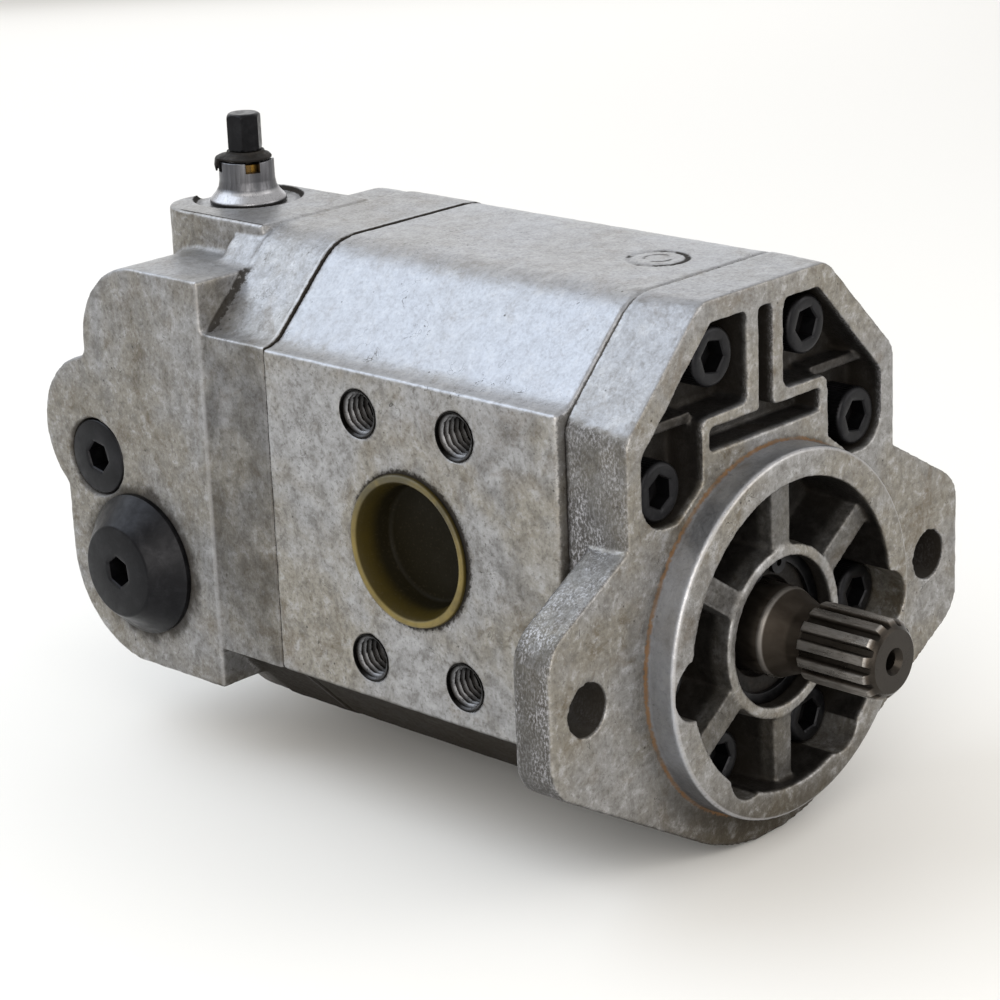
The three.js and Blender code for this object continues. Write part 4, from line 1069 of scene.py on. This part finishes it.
def hexagon(flats, turn=0.0):
    """Radius of a hexagon over the angle."""
    return lambda angles: flats / 2 / np.cos((angles - turn) % (math.pi / 3) - math.pi / 6)


def knurl(radius, depth, count):
    return lambda angles: radius - depth * (0.5 - 0.5 * np.cos(count * angles))


def socket(face, depth, turn):
    """Rings of a hexagon socket, from its drilled bottom up to its chamfered mouth."""
    flats = SOCKET_FLATS
    across = hexagon(flats, turn)
    bottom = face + depth
    return [(0, bottom + 1.2), (flats / 2 - 0.6, bottom), (across, bottom - 0.05), (across, face + 0.55),
            (lambda a: across(a) + 0.35, face + 0.15), (flats / 2 * 1.155 + 0.55, face)]


def cap_bolt(place, x, z):
    front, seat = 1.7, CAVITY_FLOOR - 0.3
    ridged = knurl(8.0, 0.22, 48)
    profile = socket(front, 5, math.radians(17 * len(place)))
    profile += [(6.6, front), (7.2, front + 0.1), (7.8, front + 0.6), (8.0, front + 1.2),
                (ridged, front + 1.6), (ridged, seat - 1.0), (8.0, seat - 0.5), (7.8, seat), (5, seat),
                (5, 144), (4.2, 145), (0, 145)]
    finish(turned("bolt", profile, "y", (x, 0, z), 384), f"cap_screw_{place}", BODY, BLACK_OXIDE,
           [f"bolt_{place}"])


def cone_plug():
    seat, face = -PAD_X - 0.3, -PAD_X - 10
    profile = socket(face, PLUG_SOCKET, 0.4)
    profile += [(5.6, face), (13.2, face), (13.65, face + 0.15), (14.0, face + 0.5), (20.5, seat - 2.0),
                (21.1, seat - 1.4), (21.2, seat - 0.8), (21.2, seat), (12.4, seat), (12.4, seat + 2.6),
                (14, seat + 2.7), (14, seat + 19), (0, seat + 19)]
    finish(turned("plug", profile, "x", (0, *SPOOL), 240), "large_cone_plug_turned", BODY, BLACK_OXIDE,
           ["large_cone_plug"])


def flush_plug():
    face = -PAD_X + 0.4
    seat = face + 5.2
    profile = socket(face, PLUG_SOCKET, 0.2)
    profile += [(5.6, face), (10.6, face), (11.0, face + 0.15), (11.3, face + 0.5), (11.4, face + 0.9),
                (11.4, seat), (7.6, seat), (7.6, seat + 2.4), (9, seat + 2.5), (9, seat + 16), (0, seat + 16)]
    finish(turned("plug", profile, "x", (0, *GALLERY), 240), "small_flush_plug_turned", BODY, BLACK_OXIDE,
           ["small_hex_plug"])


def port_plug(side, bore, rim, depth, body):
    """Shipping plug: a cup in the port with a rolled, slightly uneven rim."""
    phases = np.random.default_rng(5 + side).uniform(0, 2 * math.pi, 4)

    def uneven(radius, amount):
        return lambda a: radius + amount * sum(np.sin((k + 2) * a + phases[k]) / (k + 2) for k in range(4))

    cup = bore - 0.3
    inner = cup - 1.4
    profile = [(0, depth), (cup - 2, depth), (cup - 0.6, depth - 0.6), (cup, depth - 2), (cup, -0.3),
               (uneven(rim - 0.5, 0.25), -0.3), (uneven(rim - 0.1, 0.3), -0.7),
               (uneven(rim - 0.15, 0.3), -1.3), (uneven(rim - 0.6, 0.2), -1.85),
               (rim - 1.2, -2.0), (rim - 1.9, -1.75), (rim - 2.5, -1.1),
               (inner + 0.9, 0.6), (inner + 0.2, 3.0), (inner - 0.2, depth - 2.6), (inner - 0.7, depth - 1.8),
               (inner - 1.6, depth - 1.45), (inner * 0.3, depth - 1.4), (0, depth - 1.4)]
    profile = [(radius, side * (PAD_X - inset)) for radius, inset in profile]
    finish(turned("cup", profile, "x", (0, PORT_Y, MID_Z), 160), f"{body}_moulding", body, PLASTIC,
           [body], 50)


def thread_insert(name, side, y, z, outer, crest, pitch, depth):
    """The cut thread of a port hole: a sleeve whose inside is a screw thread."""
    root = crest + 0.54 * pitch

    def groove(station):
        def radius(angles):
            phase = (station / pitch - side * angles / (2 * math.pi)) % 1.0
            wall = np.clip(np.abs(phase - 0.5) * 2.6 - 0.25, 0, 1)
            return root - (root - crest) * wall * ramp(np.full_like(angles, station), 0.0, 1.2)
        return radius

    profile = [(outer, 0.05), (outer - 0.25, 0.05)]
    profile += [(groove(s), s) for s in np.arange(0.9, depth - 0.5, pitch / 10)]
    profile = [(radius, side * (PAD_X - s)) for radius, s in profile + [(crest, depth), (outer, depth)]]
    piece = turned("thread", profile, "x", (0, y, z), 96)
    skin = Skin(piece)
    reach = np.hypot(skin.points[:, 1] - y, skin.points[:, 2] - z)
    skin.paint("crest", ramp(reach, root - 0.15, crest + 0.1))
    # 1 at the mouth and 0 further in: the material paints shade further in.
    skin.paint("mouth", ramp(side * skin.points[:, 0], PAD_X - 9, PAD_X - 0.5))
    finish(piece, name, BODY, THREAD, (), 60)


def port_threads():
    for side, label, crest, pitch in ((-1, "inlet", 5.3, 1.95), (1, "outlet", 4.1, 1.5)):
        holes, radius = port_pattern(side)
        for i, (y, z) in enumerate(holes):
            thread_insert(f"{label}_port_thread_{i + 1}", side, y, z, radius + 0.25, crest, pitch, 14.5)


# ---------------- relief valve, seal and ring


def collar_nut():
    x, y = RELIEF
    profile = softened([(5.9, 80), (9, 80), (9, 94.0), (11.4, 94.0), (11.4, 95.1), (10.9, 95.7), (9.5, 97.2),
                        (8.6, 98.8), (8.25, 100.8), (8.2, 106.6), (5.9, 106.6)], 0.3)
    piece = turned("collar", profile, "z", (x, y, 0), 192)
    slots = []
    for i in range(4):
        angle = math.pi / 2 * i + math.radians(61)
        along = np.array([math.cos(angle), math.sin(angle)])
        across = np.array([-along[1], along[0]])
        outline = np.array([along * 4 - across * 2.2, along * 10 - across * 2.2, along * 10 + across * 2.2,
                            along * 4 + across * 2.2]) + np.array([x, y])
        slots.append(prism(outline, "z", 103.6, 108))
    cut(piece, *slots)
    finish(piece, "slotted_collar_nut", BODY, COLLAR, ["collar_nut"])


def brass_sleeve():
    profile = softened([(4, 84), (5.6, 84), (5.6, 105.8), (4, 105.8)], 0.3)
    piece = turned("sleeve", profile, "z", (*RELIEF, 0), 96)
    skin = Skin(piece)
    around = np.degrees(np.arctan2(skin.points[:, 1] - RELIEF[1], skin.points[:, 0] - RELIEF[0])) % 360
    # Darker over part of the sleeve, from about 200 to 241 degrees round it.
    skin.paint("dirt_and_shade", ramp(around, 247, 241) * ramp(around, 190, 200))
    finish(piece, "brass_guide_sleeve", BODY, BRASS, ["brass_sleeve"])


def adjusting_screw():
    across = hexagon(9.2, math.radians(37.6))
    bottom, top = 109.6, 120.4
    profile = [(0, 72), (3.2, 72), (3.7, 72.5), (3.7, bottom - 0.2), (4.6, bottom - 0.1),
               (chamfered(across, 4.9), bottom), (chamfered(across, 5.15), bottom + 0.4),
               (across, bottom + 0.8), (across, top - 1.6)]
    profile += [(chamfered(across, 5.3 - 1.1 * t * t), top - 1.3 + 1.25 * t) for t in np.linspace(0, 1, 6)]
    profile += [(3.6, top), (0, top)]
    piece = turned("screw", profile, "z", (*RELIEF, 0), 240)
    finish(piece, "adjusting_screw_turned", "adjuster", BLACK_OXIDE, ["adjusting_screw"])


def screw_boot():
    """Rubber skirt under the hexagon, with torn flaps that hang over the collar's rim."""
    flap = math.radians(131)

    def torn(radius, droop, hang=0.0):
        def reach(a):
            away = np.abs((a - flap + math.pi) % (2 * math.pi) - math.pi)
            waves = 0.5 * np.sin(3 * a + 1) + 0.3 * np.sin(7 * a + 2) + 0.2 * np.sin(13 * a)
            return radius + droop * waves + hang * ramp(away, 0.62, 0.4)
        return reach

    profile = [(4.0, 106.95), (torn(7.0, 0.15, 1.5), 106.9), (torn(7.6, 0.15, 1.3), 107.0),
               (torn(7.7, 0.2, 1.3), 107.5), (torn(7.2, 0.2, 0.7), 108.0), (torn(6.2, 0.1), 108.4),
               (torn(5.75, 0.1), 108.7), (5.6, 109.0), (5.5, 109.3), (4.0, 109.3)]
    piece = turned("boot", profile, "z", (*RELIEF, 0), 160)
    angles = np.radians(np.linspace(104, 158, 34))
    x, y = RELIEF
    low = 103.6 + 1.5 * np.sin(angles * 9) ** 2 + 1.8 * ramp(np.abs(np.degrees(angles) - 131), 14, 27)
    shapes = [(8.55, low), (8.75, 0.5 * (low + 107)), (8.6, 107.3 + 0 * low), (9.2, 107.2 + 0 * low),
              (9.45, 0.5 * (low + 107)), (9.1, low - 0.1)]
    vertices = [(x + r * math.cos(a), y + r * math.sin(a), z[i])
                for i, a in enumerate(angles) for r, z in shapes]
    count = len(shapes)
    faces = [tuple(range(count)), tuple((len(angles) - 1) * count + k for k in range(count))[::-1]]
    for i in range(len(angles) - 1):
        for k in range(count):
            after = (k + 1) % count
            faces.append((i * count + k, (i + 1) * count + k, (i + 1) * count + after, i * count + after))
    union(piece, make_object("flap", vertices, faces))
    finish(piece, "torn_rubber_boot", "adjuster", RUBBER, ["screw_boot"], 50)


def coil_spring(name, node, axis, centre, turns, radius, wire):
    """Round-wire spring with closed ends, reaching along the axis from one end of its part's box to the
    other.
    """
    index = "xyz".index(axis)
    low, high = (corner[index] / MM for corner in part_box(node))
    sides = 14
    share = np.linspace(0, 1, int(turns * 44) + 1)
    climb = share * share * (3 - 2 * share)
    angle = 2 * math.pi * turns * share
    around = np.linspace(0, 2 * math.pi, sides, endpoint=False)
    reach = radius + wire * np.cos(around)[None, :]
    u = centre[0] + reach * np.cos(angle)[:, None]
    v = centre[1] + reach * np.sin(angle)[:, None]
    station = (low + wire + (high - low - 2 * wire) * climb)[:, None] + wire * np.sin(around)[None, :]
    vertices = placed(u.ravel(), v.ravel(), station.ravel(), axis)
    last = (len(share) - 1) * sides
    faces = [tuple(range(sides))[::-1], tuple(range(last, last + sides))]
    for i in range(len(share) - 1):
        for k in range(sides):
            a, b = i * sides + k, i * sides + (k + 1) % sides
            faces.append((a, b, b + sides, a + sides))
    piece = make_object("spring", vertices, faces)
    finish(piece, name, BODY, SPRING, [node], 50)
    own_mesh(piece)


def shaft_seal():
    profile = softened([(14.0, 2.0), (20.5, 2.0), (20.5, 10.5), (15.8, 10.5), (15.8, 6), (12.8, 7), (12.8, 5),
                        (13.6, 4.2)], 0.3)
    finish(turned("seal", profile, "y", (0, 0, 0), 160), "lip_seal", BODY, RUBBER, ["shaft_seal"])


def circlip():
    front, back = 0.2, 1.4
    ring = turned("ring", softened([(18.2, front), (21.7, front), (21.7, back), (18.2, back)], 0.15), "y",
                  segments=192)
    cut(ring, box(-3.4, 3.4, front - 1, back + 1, 0, 23))
    ears = []
    holes = []
    for degrees in (74, 106):
        angle = math.radians(degrees)
        at = (17.7 * math.cos(angle), 0, 17.7 * math.sin(angle))
        ears.append(rod(3, "y", front, back, at, 48))
        holes.append(rod(1, "y", front - 1, back + 1, at, 32))
    union(ring, *ears)
    cut(ring, *holes)
    finish(ring, "retaining_ring_with_ears", BODY, BLACK_OXIDE, ["retaining_ring"])


# ---------------- carried nodes

bright_metal = turned_metal("bright_turned_steel", (0.34, 0.34, 0.355), ALONG_Z, line=1.1)
CARRIED = {
    "bearing_block": turned_metal("bearing_aluminium", (0.55, 0.53, 0.50), ROUND_Y),
    "bush": turned_metal("bush_bronze", (0.42, 0.28, 0.13), ROUND_Y),
    "joint_seal": RUBBER[1], "oring": RUBBER[1], "spring_seat": SPRING[1], "dowel": bright_metal,
    "flow_spool": bright_metal, "relief_poppet": bright_metal, "poppet_seat": bright_metal,
}


def dress_carried_nodes():
    for name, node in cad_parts.items():
        for word, material in CARRIED.items():
            if word in name:
                node.data.materials.clear()
                node.data.materials.append(material)


# ---------------- studio

CAMERA_PLACE = (-0.58193, -0.45837, 0.28315)
CAMERA_AZIMUTH, CAMERA_ELEVATION, CAMERA_ROLL = -46.3268, 18.3336, -2.2796
FOCAL_PIXELS = 2960.38
PICTURE_PIXELS = 1000
SENSOR = 36.0
LIT_POINT = np.array([0.0, 0.08, 0.02])
FLOOR_REACH = 4.0
FLOOR_GAP = 0.0004
FLOOR_COLOR = (0.82, 0.81, 0.788)


def camera():
    a, e, r = (math.radians(v) for v in (CAMERA_AZIMUTH, CAMERA_ELEVATION, CAMERA_ROLL))
    back = np.array([math.sin(a) * math.cos(e), -math.cos(a) * math.cos(e), math.sin(e)])
    right = np.array([math.cos(a), math.sin(a), 0.0])
    up = np.cross(back, right)
    across = math.cos(r) * right + math.sin(r) * up
    upright = math.cos(r) * up - math.sin(r) * right
    data = bpy.data.cameras.new("camera")
    data.lens = FOCAL_PIXELS / PICTURE_PIXELS * SENSOR
    data.sensor_width = SENSOR
    data.clip_start = 0.01
    piece = bpy.data.objects.new("camera", data)
    matrix = np.eye(4)
    matrix[:3, 0], matrix[:3, 1], matrix[:3, 2], matrix[:3, 3] = across, upright, back, CAMERA_PLACE
    piece.matrix_world = Matrix(matrix.tolist())
    bpy.context.scene.collection.objects.link(piece)
    bpy.context.scene.camera = piece


def area_light(name, toward, distance, size, power, color):
    """Square soft light that shines on the middle of the pump from a direction."""
    direction = np.array(toward, float) / np.linalg.norm(toward)
    data = bpy.data.lights.new(name, "AREA")
    data.size = size
    data.energy = power
    data.color = color
    piece = bpy.data.objects.new(name, data)
    piece.location = Vector(LIT_POINT + direction * distance)
    piece.rotation_euler = Vector(direction).to_track_quat("Z", "Y").to_euler()
    bpy.context.scene.collection.objects.link(piece)


def studio():
    area_light("window", (-0.35, 0.6, 0.75), 1.1, 1.0, 6.8, (0.80, 0.89, 1.0))
    area_light("front_fill", (-0.9, -0.9, 0.55), 1.3, 1.1, 10, (1.0, 0.96, 0.90))
    area_light("back_sheen", (0.65, 0.75, 0.42), 1.4, 1.2, 3.2, (0.95, 0.97, 1.0))
    area_light("right_fill", (0.6, -1.0, 0.5), 1.4, 1.0, 6, (1.0, 0.97, 0.93))
    world = bpy.data.worlds.new("studio")
    world.use_nodes = True
    background = world.node_tree.nodes["Background"]
    background.inputs["Color"].default_value = (1.0, 0.985, 0.96, 1)
    background.inputs["Strength"].default_value = 0.75
    bpy.context.scene.world = world
    bpy.context.scene.view_settings.view_transform = "Standard"


def floor():
    low = min(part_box(name)[0].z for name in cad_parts)
    mesh = bpy.data.meshes.new("floor")
    corners = [(i * FLOOR_REACH, j * FLOOR_REACH) for i, j in ((-1, -1), (1, -1), (1, 1), (-1, 1))]
    mesh.from_pydata([(x, y, low - FLOOR_GAP) for x, y in corners], [], [(0, 1, 2, 3)])
    piece = bpy.data.objects.new("floor", mesh)
    bpy.context.scene.collection.objects.link(piece)
    look = Look("pale_floor")
    look.color = FLOOR_COLOR
    mesh.materials.append(look.done(0.0, 0.7))


# ---------------- build

front_cover()
gear_housing()
rear_cover()
drive_shaft()
driven_gear()
for place, (x, z) in BOLTS.items():
    cap_bolt(place, x, z)
cone_plug()
flush_plug()
port_plug(-1, INLET_BORE, 21.4, 11.0, "inlet_plug")
port_plug(1, OUTLET_BORE, 16.0, 12.0, "outlet_plug")
port_threads()
collar_nut()
brass_sleeve()
adjusting_screw()
screw_boot()
coil_spring("relief_spring_wound", "relief_spring", "z", RELIEF, 5, 5.8, 0.9)
coil_spring("spool_spring_wound", "spool_spring", "x", SPOOL, 7, 6.2, 0.9)
shaft_seal()
circlip()
dress_carried_nodes()
camera()
studio()
floor()
